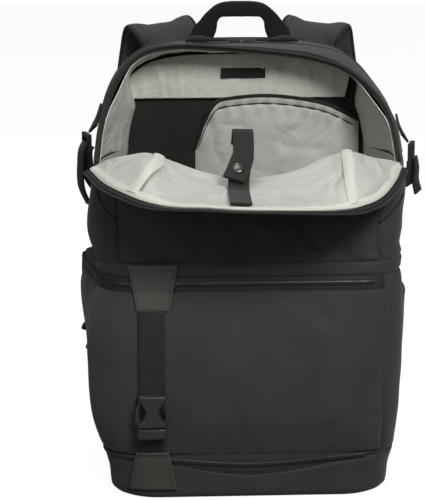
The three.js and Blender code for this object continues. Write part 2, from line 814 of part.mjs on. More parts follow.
function solidOf(geometry) {
  const plain = geometry.clone();
  plain.deleteAttribute('normal');
  plain.deleteAttribute('uv');
  const merged = mergeVertices(plain, 1e-4);
  return new wasm.Manifold(new wasm.Mesh({
    numProp: 3,
    vertProperties: new Float32Array(merged.attributes.position.array),
    triVerts: new Uint32Array(merged.index.array),
  }));
}

function geometryOf(solid) {
  const mesh = solid.getMesh();
  const geometry = new THREE.BufferGeometry();
  geometry.setAttribute('position', new THREE.Float32BufferAttribute(mesh.vertProperties, 3));
  geometry.setIndex(Array.from(mesh.triVerts));
  return geometry;
}

// A flat outline in x and z, given as half widths by height, extruded from front to rear
function profilePlate(rows, centreX, front, rear) {
  const shape = new THREE.Shape();
  rows.forEach(([z, half], i) => (i ? shape.lineTo(half, z) : shape.moveTo(half, z)));
  for (const [z, half] of [...rows].reverse()) shape.lineTo(-half, z);
  const plate = new THREE.ExtrudeGeometry(shape, { depth: rear - front, bevelEnabled: false });
  return plate.rotateX(Math.PI / 2).translate(centreX, rear, 0);
}

// A ladder-lock: a flat frame with two slots, lying in x and z before it is turned
function ladderLock(width) {
  const height = 22;
  const bar = 4;
  const depth = 4.5;
  const slotHeight = (height - 3 * bar) / 2;
  let frame = solidOf(boxAt(0, 0, 0, width + 2 * bar, depth, height));
  for (const up of [-1, 1]) {
    const z = (up * (slotHeight + bar)) / 2;
    frame = frame.subtract(solidOf(boxAt(0, 0, z, width, depth * 2, slotHeight)));
  }
  return geometryOf(frame);
}

const pack = new THREE.Group();

function addPart(name, geometry, material) {
  const mesh = new THREE.Mesh(geometry, material);
  mesh.name = name;
  pack.add(mesh);
  return mesh;
}

// Lower compartment
addPart('base_tub', baseTub(), charcoal);
addPart('door_panel', wallPanel({
  from: doorStart,
  to: doorHingeLateral,
  low: doorLow,
  high: doorTop,
  rows: 6,
  thickness: paddedWall,
  swell: doorSwell,
}), charcoal);
const zipStrip = { rows: 1, thickness: tapeThickness, standoff: -1 };
addPart('door_zip_top', wallPanel({
  from: doorStart, to: doorHingeLateral, low: doorTop, high: bandBottom, ...zipStrip,
}), darkWeb);
addPart('door_zip_bottom', wallPanel({
  from: doorStart, to: doorHingeLateral, low: baseTop, high: doorLow, marks: baseMarks, ...zipStrip,
}), darkWeb);
addPart('door_zip_side', wallPanel({
  from: (z) => doorStart(z) - doorZipWidth,
  to: doorStart,
  low: baseSideTop,
  high: bandBottom,
  ...zipStrip,
  rows: 4,
}), darkWeb);
addPart('lower_side_left', wallPanel({
  from: (z) => -sideEnd(z),
  to: (z) => doorStart(z) - doorZipWidth,
  low: baseSideTop,
  high: bandBottom,
  rows: 5,
  thickness: paddedWall,
}), charcoal);
addPart('lower_side_right', wallPanel({
  from: doorHingeLateral, to: sideEnd, low: baseSideTop, high: bandBottom, rows: 5, thickness: paddedWall,
}), charcoal);
addPart('mid_band', wallPanel({
  from: (z) => -sideEnd(z), to: sideEnd, low: bandBottom, high: bandTop, rows: 1, thickness: paddedWall,
}), charcoal);
addPart('divider_floor', dividerFloor(), blackBinding);
addPart('side_pocket', wallPanel({
  from: (z) => lateralEnd(z, pocketFrontY),
  to: (z) => lateralEnd(z, pocketRearY),
  low: sidePocketLow,
  high: sidePocketHigh,
  rows: 4,
  thickness: tapeThickness,
  swell: (lateral, z) => {
    const start = lateralEnd(z, pocketFrontY);
    const u = (lateral - start) / (lateralEnd(z, pocketRearY) - start);
    const v = (z - sidePocketLow) / (sidePocketHigh - sidePocketLow);
    const open = smooth(clamp(v * 2.5, 0, 1));
    return tapeThickness + clearance + pocketPuff * Math.sin(Math.PI * clamp(u, 0, 1)) ** 0.7 * open;
  },
}), charcoal);

// Top compartment
addPart('upper_front', wallPanel({
  from: -cornerSeamLateral, to: cornerSeamLateral, low: bandTop, high: wallTop,
  rows: 4, thickness: paddedWall,
}), charcoal);
addPart('upper_side_left', wallPanel({
  from: (z) => -sideEnd(z),
  to: -cornerSeamLateral,
  low: bandTop,
  high: wallTop,
  rows: 4,
  extra: [-hingeLateral - 5, -hingeLateral],
  thickness: paddedWall,
}), charcoal);
addPart('upper_side_right', wallPanel({
  from: cornerSeamLateral,
  to: sideEnd,
  low: bandTop,
  high: wallTop,
  rows: 4,
  extra: [hingeLateral, hingeLateral + 5],
  thickness: paddedWall,
}), charcoal);
addPart('crown_gusset', archBand({
  frontEdge: (z) => rimY(z) + zipWidth, rearEdge: () => sideRearY, count: 26, rows: 3, thickness: paddedWall,
}), charcoal);
addPart('rim_zip', archBand({
  frontEdge: rimY, rearEdge: (z) => rimY(z) + zipWidth, count: 26, rows: 1,
  thickness: tapeThickness, standoff: -1,
}), darkWeb);
addPart('lid', sheetBody(lidGrid(26, 6, 0), lidGrid(26, 6, -lidThickness)), paleLining);
addPart('lid_zip', sheetBody(
  hemGrid(26, hemFit, hemFit + lidZipWidth, -1),
  hemGrid(26, hemFit, hemFit + lidZipWidth, -1 - tapeThickness),
), darkWeb);

// Laptop compartment and back
addPart('divider_board', outlinePlate({
  bottom: baseFloor + 4, inset: paddedWall + dividerFit, front: dividerFrontY, rear: dividerRearY, edge: 1.5,
}), blackBinding);
addPart('laptop_gusset', outlineBand({
  front: dividerRearY + zipWidth, rear: panelFrontY - seamGap, inset: 0, thickness: paddedWall - 1,
}), charcoal);
addPart('laptop_zip', outlineBand({
  front: dividerRearY + seamGap, rear: dividerRearY + zipWidth - seamGap, inset: 1, thickness: tapeThickness,
}), darkWeb);
addPart('back_panel', outlinePlate({
  bottom: baseSideTop + seamGap, inset: 0, front: panelFrontY, rear: rearY, edge: 3,
}), charcoal);
for (const [name, hand] of [['back_pad_left', -1], ['back_pad_right', 1]]) {
  addPart(name, backPad((hand * (padWidth + padGap)) / 2, padHeightAt, padWidth, padHeight), charcoal);
}
addPart('lumbar_pad', backPad(0, lumbarHeightAt, lumbarWidth, lumbarHeight), charcoal);

// Lining, organiser pocket and the bare patch
const pocketCentreX = 38;
const pocketHalf = 89;
const pocketFloor = bandBottom + 3 + paddedWall + clearance;

function pocketTop(across) {
  return fromRows(pocketRows, 'across', across, 'up') * pocketHigh;
}

function pocketGrid(lowAt, highAt, rows, setOff) {
  const grid = [];
  const steps = 10;
  for (let i = 0; i <= steps; i += 1) {
    const across = -1 + (2 * i) / steps;
    const depth = clearance + liningThickness + bindingProud + pocketDepth * (1 - across ** 4);
    const line = [];
    for (let j = 0; j <= rows; j += 1) {
      const z = mix(lowAt(across), highAt(across), j / rows);
      line.push(vector(pocketCentreX + across * pocketHalf, dividerFrontY - depth - setOff, z));
    }
    grid.push(line);
  }
  return grid;
}

const bindingHeight = 4;
addPart('organiser_pocket', sheetBody(
  pocketGrid(() => pocketFloor, (a) => pocketTop(a) - bindingHeight - seamGap, 2, 0),
  pocketGrid(() => pocketFloor, (a) => pocketTop(a) - bindingHeight - seamGap, 2, -liningThickness),
), paleLining);
addPart('pocket_binding', sheetBody(
  pocketGrid((a) => pocketTop(a) - bindingHeight, pocketTop, 1, bindingProud),
  pocketGrid((a) => pocketTop(a) - bindingHeight, pocketTop, 1, -liningThickness - bindingProud),
), blackBinding);

function backLining() {
  const inset = paddedWall + 6;
  const ring = (y) => {
    const points = bagOutline(baseSideTop, inset).filter(([, z]) => z > liningLow + 4);
    const first = points[0];
    const last = points.at(-1);
    const line = [[first[0], liningLow], ...points, [last[0], liningLow]];
    return line.map(([x, z]) => vector(x, y, z));
  };
  const rear = dividerFrontY - clearance;
  return loftBody([ring(rear - liningThickness), ring(rear)]);
}
addPart('back_lining', backLining(), paleLining);
const patchY = dividerFrontY - clearance - liningThickness - clearance - 0.4;
addPart('name_patch', boxAt(1, patchY, patchHeightAt, patchWidth, 0.8, patchHeight), blackBinding);

// Handle
const handleStations = stationsThrough(
  handleRows.map((row) => {
    const z = bodyHeight + handleFootGap + row.up * handleRise;
    return vector((row.out * handleFootSpacing) / 2, handleY, z);
  }),
  16,
  (share, tangent) => yAxis.clone().cross(tangent),
);
addPart('handle', strapBody(handleStations, handleBand, handleThickness), darkWeb);

// Shoulder straps, their lower webbing, ladder-locks and anchor tabs
for (const [side, hand] of [['left', -1], ['right', 1]]) {
  const points = shoulderRows.map((row) =>
    vector(hand * row.out * shoulderReach, rearY + row.back * shoulderStand, row.up * bodyHeight));
  const stations = stationsThrough(points, 22, () => xAxis.clone());
  for (const station of stations) {
    const at = station.share * (shoulderRows.length - 1);
    const indexed = shoulderRows.map((row, index) => ({ ...row, index }));
    const twist = THREE.MathUtils.degToRad(fromRows(indexed, 'index', at, 'twist'));
    station.across = vector(Math.cos(twist), 0, -hand * Math.sin(twist));
    station.width = fromRows(indexed, 'index', at, 'width');
  }
  const strap = strapBody(stations, shoulderWidth, shoulderThickness, padSection);
  addPart(`shoulder_strap_${side}`, strap, charcoal);
  const end = stations.at(-1).at;
  const lockZ = end.z - lockDrop;
  addPart(`strap_lock_${side}`, ladderLock(webWidth).translate(end.x, end.y, lockZ), buckleGrey);
  const anchorX = hand * anchorOut;
  const webTop = lockZ - lockDrop + 4;
  const webPoints = [
    vector(end.x, end.y, webTop),
    vector(end.x, end.y - 1, webTop - 10),
    vector(mix(end.x, anchorX, 0.35), mix(end.y, rearY + 6, 0.4), mix(webTop, anchorHeight, 0.5)),
    vector(anchorX, rearY + webEndProud, anchorHeight + 2),
  ];
  const webStations = stationsThrough(webPoints, 6, () => xAxis.clone());
  addPart(`shoulder_web_${side}`, strapBody(webStations, webWidth, webThickness), darkWeb);
  const tabTop = anchorHeight - anchorDrop;
  const tabRows = [[tabTop, 14], [tabTop - 26, 24]];
  const tab = profilePlate(tabRows, anchorX, rearY + clearance, rearY + clearance + tabThickness);
  addPart(`anchor_tab_${side}`, tab, charcoal);
}

// Front strap column with its side-release buckle
const column = -columnLateral;
const columnLift = 0.6;
const tabHalf = webWidth / 2;
addPart('tab_top', lyingPiece({
  centre: column + 2, high: bandTop - 1, low: tabTopLow, halfHigh: tabHalf + 12, halfLow: tabHalf + 3,
  rows: 5, lift: columnLift, thickness: 2.6,
}), charcoal);
addPart('webbing_upper', lyingPiece({
  centre: column, high: tabTopLow - seamGap, low: buckleTop - 2, halfHigh: tabHalf, halfLow: tabHalf,
  rows: 4, lift: columnLift, thickness: webThickness,
}), darkWeb);
addPart('webbing_lower', lyingPiece({
  centre: column, high: buckleTop - buckleLength - 8, low: tabBottomHigh + seamGap, halfHigh: tabHalf,
  halfLow: tabHalf, rows: 2, lift: columnLift, thickness: webThickness,
}), darkWeb);
addPart('tab_bottom', lyingPiece({
  centre: column, high: tabBottomHigh, low: tabBottomLow, halfHigh: tabHalf + 3.5, halfLow: tabHalf + 12,
  rows: 5, lift: columnLift, thickness: 2.6,
}), charcoal);

const buckleRear = wallPoint(column, buckleTop - buckleLength / 2, doorPuff + 3).y - 1;
const buckleFront = buckleRear - buckleThickness;
const buckleMiddle = (buckleRear + buckleFront) / 2;
const femaleLow = buckleTop - buckleLength + 2;
const femaleRows = [
  [femaleLow, tabHalf + 2.5], [femaleLow + 8, tabHalf + 2.5], [femaleLow + 14, tabHalf - 3.5],
  [femaleLow + 22, tabHalf - 4], [femaleLow + 27, tabHalf + 0.5], [buckleTop - 2.6, tabHalf + 0.5],
];
const prongOut = tabHalf - 2.5;
const prongWidth = 4.4;
const prongHeight = 24;
let female = solidOf(profilePlate(femaleRows, column, buckleFront, buckleRear));
let male = solidOf(profilePlate(
  [[femaleLow - 7, tabHalf + 1], [femaleLow - 5.5, tabHalf + 2.5], [femaleLow - 0.6, tabHalf + 2.5]],
  column, buckleFront + 1.5, buckleRear - 1.5,
));
for (const hand of [-1, 1]) {
  const x = column + hand * prongOut;
  const fit = 2 * clearance;
  female = female.subtract(solidOf(boxAt(
    x, buckleMiddle, femaleLow + prongHeight / 2, prongWidth + fit, 5 + fit, prongHeight + fit,
  )));
  male = male.add(solidOf(boxAt(
    x, buckleMiddle, femaleLow + prongHeight / 2 - 2, prongWidth, 5, prongHeight,
  )));
}
addPart('buckle_female', geometryOf(female), buckleGrey);
addPart('buckle_male', geometryOf(male), buckleGrey);

// The side wall's x at a height and depth, below or above the hinges
function sideX(z, y, hand) {
  if (z <= hingeHeight) return settle(vector(hand * sectionAt(z).side, y, z)).x;
  let near = 0;
  let far = 0.5;
  for (let i = 0; i < 20; i += 1) {
    const share = (near + far) / 2;
    if (arch.getPointAt(share).z < z) near = share;
    else far = share;
  }
  return settle(vector(-hand * arch.getPointAt(near).x, y, z)).x;
}

// Side straps: webbing, ladder-lock and hanging tail
const sideStraps = [
  ['left', leftWebRows, leftTailRows],
  ['right', rightWebRows, rightTailRows],
];
for (const [side, webRows, tailRows] of sideStraps) {
  const hand = side === 'left' ? -1 : 1;
  const lockRow = webRows.at(-1);
  const lockY = lockRow.back - 4;
  const lockZ = hingeHeight + lockRow.up * archRise - sideLockDrop;
  const wallX = [-11, 0, 11].map((dz) => Math.abs(sideX(lockZ + dz, lockY, hand)));
  const lockX = Math.max(...wallX) + sideLockStand;
  const onWall = webRows.slice(0, -1).map((row) => {
    const z = hingeHeight + row.up * archRise;
    return vector(sideX(z, row.back, hand) + hand * row.out, row.back, z);
  });
  const webEnd = vector(hand * (lockX - sideLockInset), lockRow.back, lockZ + sideLockDrop);
  const hanging = tailRows.map((row) => vector(hand * (lockX + row.out), row.back, lockZ + row.up));
  const strap = (rows, points, count, width) => {
    const turnAt = (share) => {
      const at = share * (rows.length - 1);
      return fromRows(rows.map((row, index) => ({ ...row, index })), 'index', at, 'turn');
    };
    const stations = stationsThrough(points, count, (share) => vector(hand * turnAt(share), 1, 0));
    return strapBody(stations, width, webThickness);
  };
  addPart(`side_web_${side}`, strap(webRows, [...onWall, webEnd], 5, sideWebWidth), darkWeb);
  const lock = ladderLock(sideWebWidth);
  lock.rotateZ(Math.PI / 2 - hand * 0.25).translate(hand * lockX, lockY, lockZ);
  addPart(`side_lock_${side}`, lock, buckleGrey);
  addPart(`side_tail_${side}`, strap(tailRows, hanging, 8, sideWebWidth * 0.8), darkWeb);
}

// Zip sliders and pulls
function pullBody(points, radii) {
  const count = 6;
  const rings = points.map((point, i) => {
    const before = points[Math.max(0, i - 1)];
    const after = points[Math.min(points.length - 1, i + 1)];
    const along = after.clone().sub(before).normalize();
    const side = Math.abs(along.z) > 0.8 ? yAxis.clone() : zAxis.clone();
    side.addScaledVector(along, -side.dot(along)).normalize();
    const other = along.clone().cross(side);
    const ring = [];
    for (let k = 0; k < count; k += 1) {
      const angle = (2 * Math.PI * k) / count;
      ring.push(point.clone().addScaledVector(side, radii[i] * Math.cos(angle))
        .addScaledVector(other, radii[i] * Math.sin(angle)));
    }
    return ring;
  });
  return loftBody(rings);
}

const sliderHeight = 4;
const sliderLength = 12;
const laptopZipMiddle = dividerRearY + zipWidth / 2;
for (const [side, hand] of [['left', -1], ['right', 1]]) {
  const sliderX = hand * 8;
  const sliderZ = bodyHeight - 1 + clearance + sliderHeight / 2 + 0.4;
  const slider = boxAt(sliderX, laptopZipMiddle, sliderZ, sliderLength, zipWidth - 1, sliderHeight);
  addPart(`laptop_slider_${side}`, slider, gunmetal);
  const pullZ = sliderZ + 1.4;
  const pullPoints = pullRows.map((row) => vector(hand * row.out, laptopZipMiddle - 1, pullZ + row.up));
  addPart(`laptop_pull_${side}`, pullBody(pullPoints, pullRows.map((row) => row.radius)), blackBinding);
}
for (const [name, z] of [['door_pull_upper', 150], ['door_pull_lower', 128]]) {
  const wallX = -sectionAt(z).side;
  const y = sideRearY - doorRearSetback + doorZipWidth / 2;
  const points = doorPullRows.map((row) => vector(wallX - row.out, y - 2, z + row.up));
  addPart(name, pullBody(points, doorPullRows.map((row) => row.radius)), blackBinding);
}

// Snap strap: sewn at the hem, over the lid to the fold, then up in a short standing loop
const snapAcross = -0.1;
const snapLift = 4;
const snapPoints = [];
for (const outward of [0.96, 0.75, 0.5, 0.25, 0.08]) snapPoints.push(lidOn(snapAcross, outward, snapLift));
for (const row of snapLoopRows) {
  snapPoints.push(vector(snapAcross * lidHalf + row.x, -lidFront + row.back, hingeHeight + row.up));
}
const snapWidth = 21;
const snapStations = stationsThrough(snapPoints, 18, () => vector(1, 0.12, 0));
addPart('snap_strap', strapBody(snapStations, snapWidth, webThickness), darkWeb);
const tabPoints = [0.58, 0.4, 0.2].map((outward, i) =>
  lidOn(snapAcross - 0.012 + 0.02 * i, outward, snapLift + webThickness + clearance));
const snapTabStations = stationsThrough(tabPoints, 4, () => vector(1, 0.2, 0));
addPart('snap_tab', strapBody(snapTabStations, snapWidth, webThickness), darkWeb);
const snapCentre = lidOn(snapAcross, 0.36, snapLift + 1.5 * webThickness + 2 * clearance + 2.4);
addPart('snap_button', new THREE.CylinderGeometry(5.4, 6, 2.4, 14).rotateX(Math.PI / 2)
  .translate(snapCentre.x, snapCentre.y, snapCentre.z), gunmetal);

// The origin is the middle of the bounding box, on the ground
const box = new THREE.Box3().setFromObject(pack);
const centre = box.getCenter(new THREE.Vector3());
pack.position.set(-centre.x, -centre.y, -box.min.z);

export default pack;
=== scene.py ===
# Camera backpack, open at the top, standing on its base.
# Lengths in the tables are millimetres in the part's own frame: x right, y to the rear, z up.
import math

import bpy
import numpy as np
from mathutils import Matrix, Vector


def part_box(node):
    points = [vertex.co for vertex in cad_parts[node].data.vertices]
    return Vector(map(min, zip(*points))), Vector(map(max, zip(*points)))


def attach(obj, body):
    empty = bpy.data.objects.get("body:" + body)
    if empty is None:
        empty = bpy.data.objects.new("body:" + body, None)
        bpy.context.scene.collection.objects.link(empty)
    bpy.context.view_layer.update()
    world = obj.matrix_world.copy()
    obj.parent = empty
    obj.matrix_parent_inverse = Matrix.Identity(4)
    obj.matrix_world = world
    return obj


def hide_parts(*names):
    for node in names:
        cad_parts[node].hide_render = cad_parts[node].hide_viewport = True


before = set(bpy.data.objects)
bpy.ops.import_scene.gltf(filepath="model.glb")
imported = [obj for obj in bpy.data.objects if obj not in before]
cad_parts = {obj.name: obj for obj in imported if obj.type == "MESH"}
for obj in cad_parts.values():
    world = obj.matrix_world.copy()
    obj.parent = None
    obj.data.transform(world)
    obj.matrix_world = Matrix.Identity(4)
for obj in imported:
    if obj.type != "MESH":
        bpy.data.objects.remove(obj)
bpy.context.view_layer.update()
tubLow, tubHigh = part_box("base_tub")

rearY = 127.5
shift = np.array([500 * (tubLow[0] + tubHigh[0]), 1000 * tubHigh[1] - rearY, 0.0])

body = {
    "height": 450, "width": 320, "depth": 255, "frontRadius": 46, "rearRadius": 24,
    "hinge": 342, "hingeY": -61.5, "rimTopY": 26.5, "sideRearY": 75.5, "lean": 0.095, "slack": 0.065, "nip": 0.045,
    "panelFrontY": 117.5, "dividerFrontY": 69.5, "dividerRearY": 75.5, "wall": 5,
    "baseSide": 46, "baseBow": 19, "doorLow": 50, "doorTop": 222, "bandLow": 236, "bandTop": 250,
}
cornerLength = body["frontRadius"] * math.pi / 2

# Horizontal sections: up as a share of the height, side and front as shares of half the width and depth
sections = {
    "up": [0, 0.012, 0.06, 0.105, 0.2, 0.33, 0.45, 0.52, 0.556, 0.62, 0.69, 0.76, 0.85],
    "side": [0.87, 0.9, 0.915, 0.945, 0.975, 0.985, 0.985, 0.975, 0.985, 1.025, 1.015, 0.985, 0.96],
    "front": [0.86, 0.9, 0.93, 0.96, 1.0, 1.01, 0.99, 0.955, 0.95, 0.955, 0.93, 0.9, 0.85],
}
archSide = [0.985, 0.955, 0.9, 0.81, 0.67, 0.46, 0.22]
archUp = [0.76, 0.827, 0.887, 0.938, 0.976, 0.995, 1.0]


def smooth(t):
    t = np.clip(t, 0, 1)
    return t * t * (3 - 2 * t)


def mix(a, b, t):
    return a + (b - a) * t


def column(keys, values, x):
    # Smooth interpolation of values against keys.
    keys, values, x = np.asarray(keys, float), np.asarray(values, float), np.asarray(x, float)
    last = len(keys) - 1
    a = np.clip(np.searchsorted(keys, x, side="left") - 1, 0, last - 1)
    b, before, after = a + 1, np.maximum(a - 1, 0), np.minimum(a + 2, last)
    span = keys[b] - keys[a]
    t = np.clip((x - keys[a]) / span, 0, 1)
    slopeA = (values[b] - values[before]) / (keys[b] - keys[before]) * span
    slopeB = (values[after] - values[a]) / (keys[after] - keys[a]) * span
    return ((2 * t**3 - 3 * t**2 + 1) * values[a] + (t**3 - 2 * t**2 + t) * slopeA
            + (3 * t**2 - 2 * t**3) * values[b] + (t**3 - t**2) * slopeB)


def lattice(points, size, seed):
    # Smooth noise from -1 to 1 over points in mm, with features about size long (a number or three).
    cells = np.random.RandomState(seed).uniform(-1, 1, (16, 16, 16))
    p = np.asarray(points, float) / size + 5.37
    base = np.floor(p).astype(int)
    t = p - base
    t = t * t * (3 - 2 * t)
    total = 0
    for i in (0, 1):
        for j in (0, 1):
            for k in (0, 1):
                value = cells[(base[..., 0] + i) % 16, (base[..., 1] + j) % 16, (base[..., 2] + k) % 16]
                weight = ((t[..., 0] if i else 1 - t[..., 0]) * (t[..., 1] if j else 1 - t[..., 1])
                          * (t[..., 2] if k else 1 - t[..., 2]))
                total = total + value * weight
    return total


def creases(points, size, seed, sharp=3.0):
    # Narrow folds: 0 on most of the cloth, 1 along wandering lines.
    return np.clip(1 - np.abs(lattice(points, size, seed)) * sharp, 0, 1) ** 1.6


# The body's surface
def sectionAt(z):
    up = np.asarray(z, float) / body["height"]
    return (column(sections["up"], sections["side"], up) * body["width"] / 2,
            column(sections["up"], sections["front"], up) * body["depth"] / 2)


# On the right the upper walls are slack behind the hinge and nipped in over the mid band.
# Each span is a start and a length, as shares of the body's height
settling = {"slackRise": (0.59, 0.18), "slackFall": (0.83, 0.13), "slackDepth": 0.6,
            "nipRise": (0.552, 0.035), "nipFall": (0.63, 0.1), "nipRear": 0.1}


def settle(x, y, z):
    up = z / body["height"]
    ramp = {key: smooth((up - span[0]) / span[1]) for key, span in settling.items() if isinstance(span, tuple)}
    rise = ramp["slackRise"] * (1 - ramp["slackFall"])
    behind = smooth((y - body["hingeY"]) / (body["sideRearY"] - body["hingeY"]) / settling["slackDepth"])
    nip = ramp["nipRise"] * (1 - ramp["nipFall"]) * (1 - smooth(y / body["sideRearY"] - settling["nipRear"]))
    return np.where(x > 0, x * (1 + body["slack"] * rise * behind - body["nip"] * nip), x)


# The lower compartment's left wall flares out behind the front corner, most at its top
flare = {"out": 17, "high": 236, "low": 110, "edge": 7, "rise": 110, "frontY": -85, "frontRun": 105,
         "fadeY": 48, "fadeRun": 26, "sideX": 100, "sideRun": 40}


def leftFlare(x, y, z):
    rear = smooth((y - flare["frontY"]) / flare["frontRun"])
    rear = rear * (1 - smooth((y - flare["fadeY"]) / flare["fadeRun"]))
    tall = smooth((flare["high"] - z) / flare["edge"]) * smooth((z - flare["low"]) / flare["rise"])
    return flare["out"] * rear * tall * smooth((-x - flare["sideX"]) / flare["sideRun"])


def lateralEnd(z, endY):
    side, front = sectionAt(z)
    return side - body["frontRadius"] + cornerLength + endY + front - body["frontRadius"]


def wall(lateral, z, out):
    lateral, z, out = np.broadcast_arrays(np.asarray(lateral, float), z, out)
    side, front = sectionAt(z)
    radius = body["frontRadius"]
    hand = np.where(lateral < 0, -1.0, 1.0)
    along = np.abs(lateral)
    flat = side - radius
    angle = np.clip((along - flat) / radius, 0, math.pi / 2)
    beyond = np.maximum(along - flat - cornerLength, 0)
    x = hand * (np.minimum(along, flat) + (radius + out) * np.sin(angle))
    y = -front + radius - (radius + out) * np.cos(angle) + beyond
    x = np.where(along <= flat, lateral, x)
    return np.stack([settle(x, y, z) - leftFlare(x, y, z), y, z], -1)


def centripetal(points, dense=24):
    # A dense line through points, as a centripetal Catmull-Rom curve.
    p = np.asarray(points, float)
    p = np.vstack([2 * p[0] - p[1], p, 2 * p[-1] - p[-2]])
    line = []
    for k in range(1, len(p) - 2):
        p0, p1, p2, p3 = p[k - 1:k + 3]
        d0, d1, d2 = [max(np.linalg.norm(b - a) ** 0.5, 1e-6) for a, b in ((p0, p1), (p1, p2), (p2, p3))]
        m1 = ((p1 - p0) / d0 - (p2 - p0) / (d0 + d1) + (p2 - p1) / d1) * d1
        m2 = ((p2 - p1) / d1 - (p3 - p1) / (d1 + d2) + (p3 - p2) / d2) * d1
        for t in np.linspace(0, 1, dense, endpoint=False):
            line.append((2 * t**3 - 3 * t**2 + 1) * p1 + (t**3 - 2 * t**2 + t) * m1
                        + (3 * t**2 - 2 * t**3) * p2 + (t**3 - t**2) * m2)
    line.append(p[-2])
    return np.array(line)


def lengths(line):
    return np.concatenate([[0], np.cumsum(np.linalg.norm(np.diff(line, axis=0), axis=1))])


def atShares(line, shares):
    along = lengths(line)
    places = np.asarray(shares) * along[-1]
    return np.stack([np.interp(places, along, values) for values in line.T], -1)


archHalf = [[-s * body["width"] / 2, 0, u * body["height"]] for s, u in zip(archSide, archUp)]
archLine = centripetal(archHalf + [[-x, y, z] for x, y, z in archHalf[::-1]], 60)
archTangent = np.gradient(archLine, axis=0)
archTangent /= np.linalg.norm(archTangent, axis=1)[:, None]


def arch(share, y, out):
    # A point of the upper outline, share from the left hinge to the right one.
    share, y, out = np.broadcast_arrays(share, y, out)
    along = lengths(archLine)
    place = share * along[-1]
    x, z = [np.interp(place, along, archLine[:, k]) for k in (0, 2)]
    tx, tz = [np.interp(place, along, archTangent[:, k]) for k in (0, 2)]
    px, pz = x - tz * out, z + tx * out
    return np.stack([settle(px, y, pz), y, pz], -1)


def archHeight(share):
    return np.interp(np.asarray(share) * lengths(archLine)[-1], lengths(archLine), archLine[:, 2])


def rimY(z):
    share = np.clip((z - body["hinge"]) / (body["height"] - body["hinge"]), 0, 1)
    return mix(body["hingeY"], body["rimTopY"], share)


def leaned(p):
    # The crown's front sags to the right.
    near = np.clip((body["sideRearY"] - p[..., 1]) / (body["sideRearY"] - body["rimTopY"]), 0, 1)
    tall = np.clip((p[..., 2] - body["hinge"]) / (body["height"] - body["hinge"]), 0, 1)
    p = p.copy()
    p[..., 2] -= body["lean"] * p[..., 0] * near**2 * tall
    return p


def outline(bottom, inset, steps=60):
    # The bag's outline from the front, from the base up, over and down, as x and z.
    heights = np.linspace(bottom, 0.7 * body["height"], 26)
    side = sectionAt(heights)[0] - inset
    left = np.stack([-side, heights], -1)
    over = arch(np.linspace(0, 1, steps + 1), body["sideRearY"], -inset)[:, [0, 2]]
    right = np.stack([settle(side, np.full_like(side, body["sideRearY"]), heights), heights], -1)[::-1]
    return np.vstack([left, over, right])


def baseTop(lateral):
    flat = sectionAt(body["baseSide"])[0] - body["frontRadius"]
    share = np.clip(np.abs(lateral) / (flat + cornerLength * 0.4), 0, 1)
    return body["baseSide"] - body["baseBow"] * (1 - smooth(share))


door = {"rearSetback": 44, "hinge": 137, "puff": 7, "sidePuff": 9, "zip": 12}


def doorStart(z):
    return -lateralEnd(z, body["sideRearY"] - door["rearSetback"])


def sideEnd(z):
    return lateralEnd(z, body["sideRearY"])


def bulge(t):
    return 1 - np.abs(2 * t - 1) ** 3


def doorSwell(lateral, z):
    start = doorStart(z)
    u = (lateral - start) / (door["hinge"] - start)
    v = (z - body["doorLow"]) / (body["doorTop"] - body["doorLow"])
    inside = (u >= 0) & (u <= 1) & (v >= 0) & (v <= 1)
    puff = mix(door["sidePuff"], door["puff"], smooth(u * 1.6))
    return np.where(inside, puff * bulge(np.clip(u, 0, 1)) * bulge(np.clip(v, 0, 1)), 0)


# Materials
def newMaterial(name):
    material = bpy.data.materials.new(name)
    material.use_nodes = True
    tree = material.node_tree
    return material, tree, tree.nodes["Principled BSDF"]


def node(tree, kind, **values):
    made = tree.nodes.new(kind)
    for key, value in values.items():
        if key in made.inputs:
            made.inputs[key].default_value = value
        else:
            setattr(made, key, value)
    return made


def ranged(tree, source, low, high, start=0.0, end=1.0):
    # source spread from start..end to low..high
    made = node(tree, "ShaderNodeMapRange")
    for key, value in zip(("From Min", "From Max", "To Min", "To Max"), (start, end, low, high)):
        made.inputs[key].default_value = value
    tree.links.new(source, made.inputs["Value"])
    return made.outputs["Result"]


def tinted(tree, base, factor):
    # base, a colour or a socket, times a grey factor
    made = node(tree, "ShaderNodeMix", data_type="RGBA", blend_type="MULTIPLY")
    made.inputs["Factor"].default_value = 1.0
    if isinstance(base, tuple):
        made.inputs[6].default_value = base
    else:
        tree.links.new(base, made.inputs[6])
    tree.links.new(factor, made.inputs[7])
    return made.outputs[2]


def linear(code):
    # Linear colour from a hexadecimal one.
    parts = [int(code[k:k + 2], 16) / 255 for k in (0, 2, 4)]
    return tuple(c / 12.92 if c <= 0.04045 else ((c + 0.055) / 1.055) ** 2.4 for c in parts) + (1,)


def math2(tree, operation, a, b):
    made = tree.nodes.new("ShaderNodeMath")
    made.operation = operation
    for socket, value in zip(made.inputs, (a, b)):
        if hasattr(value, "links"):
            tree.links.new(value, socket)
        else:
            socket.default_value = value
    return made.outputs[0]


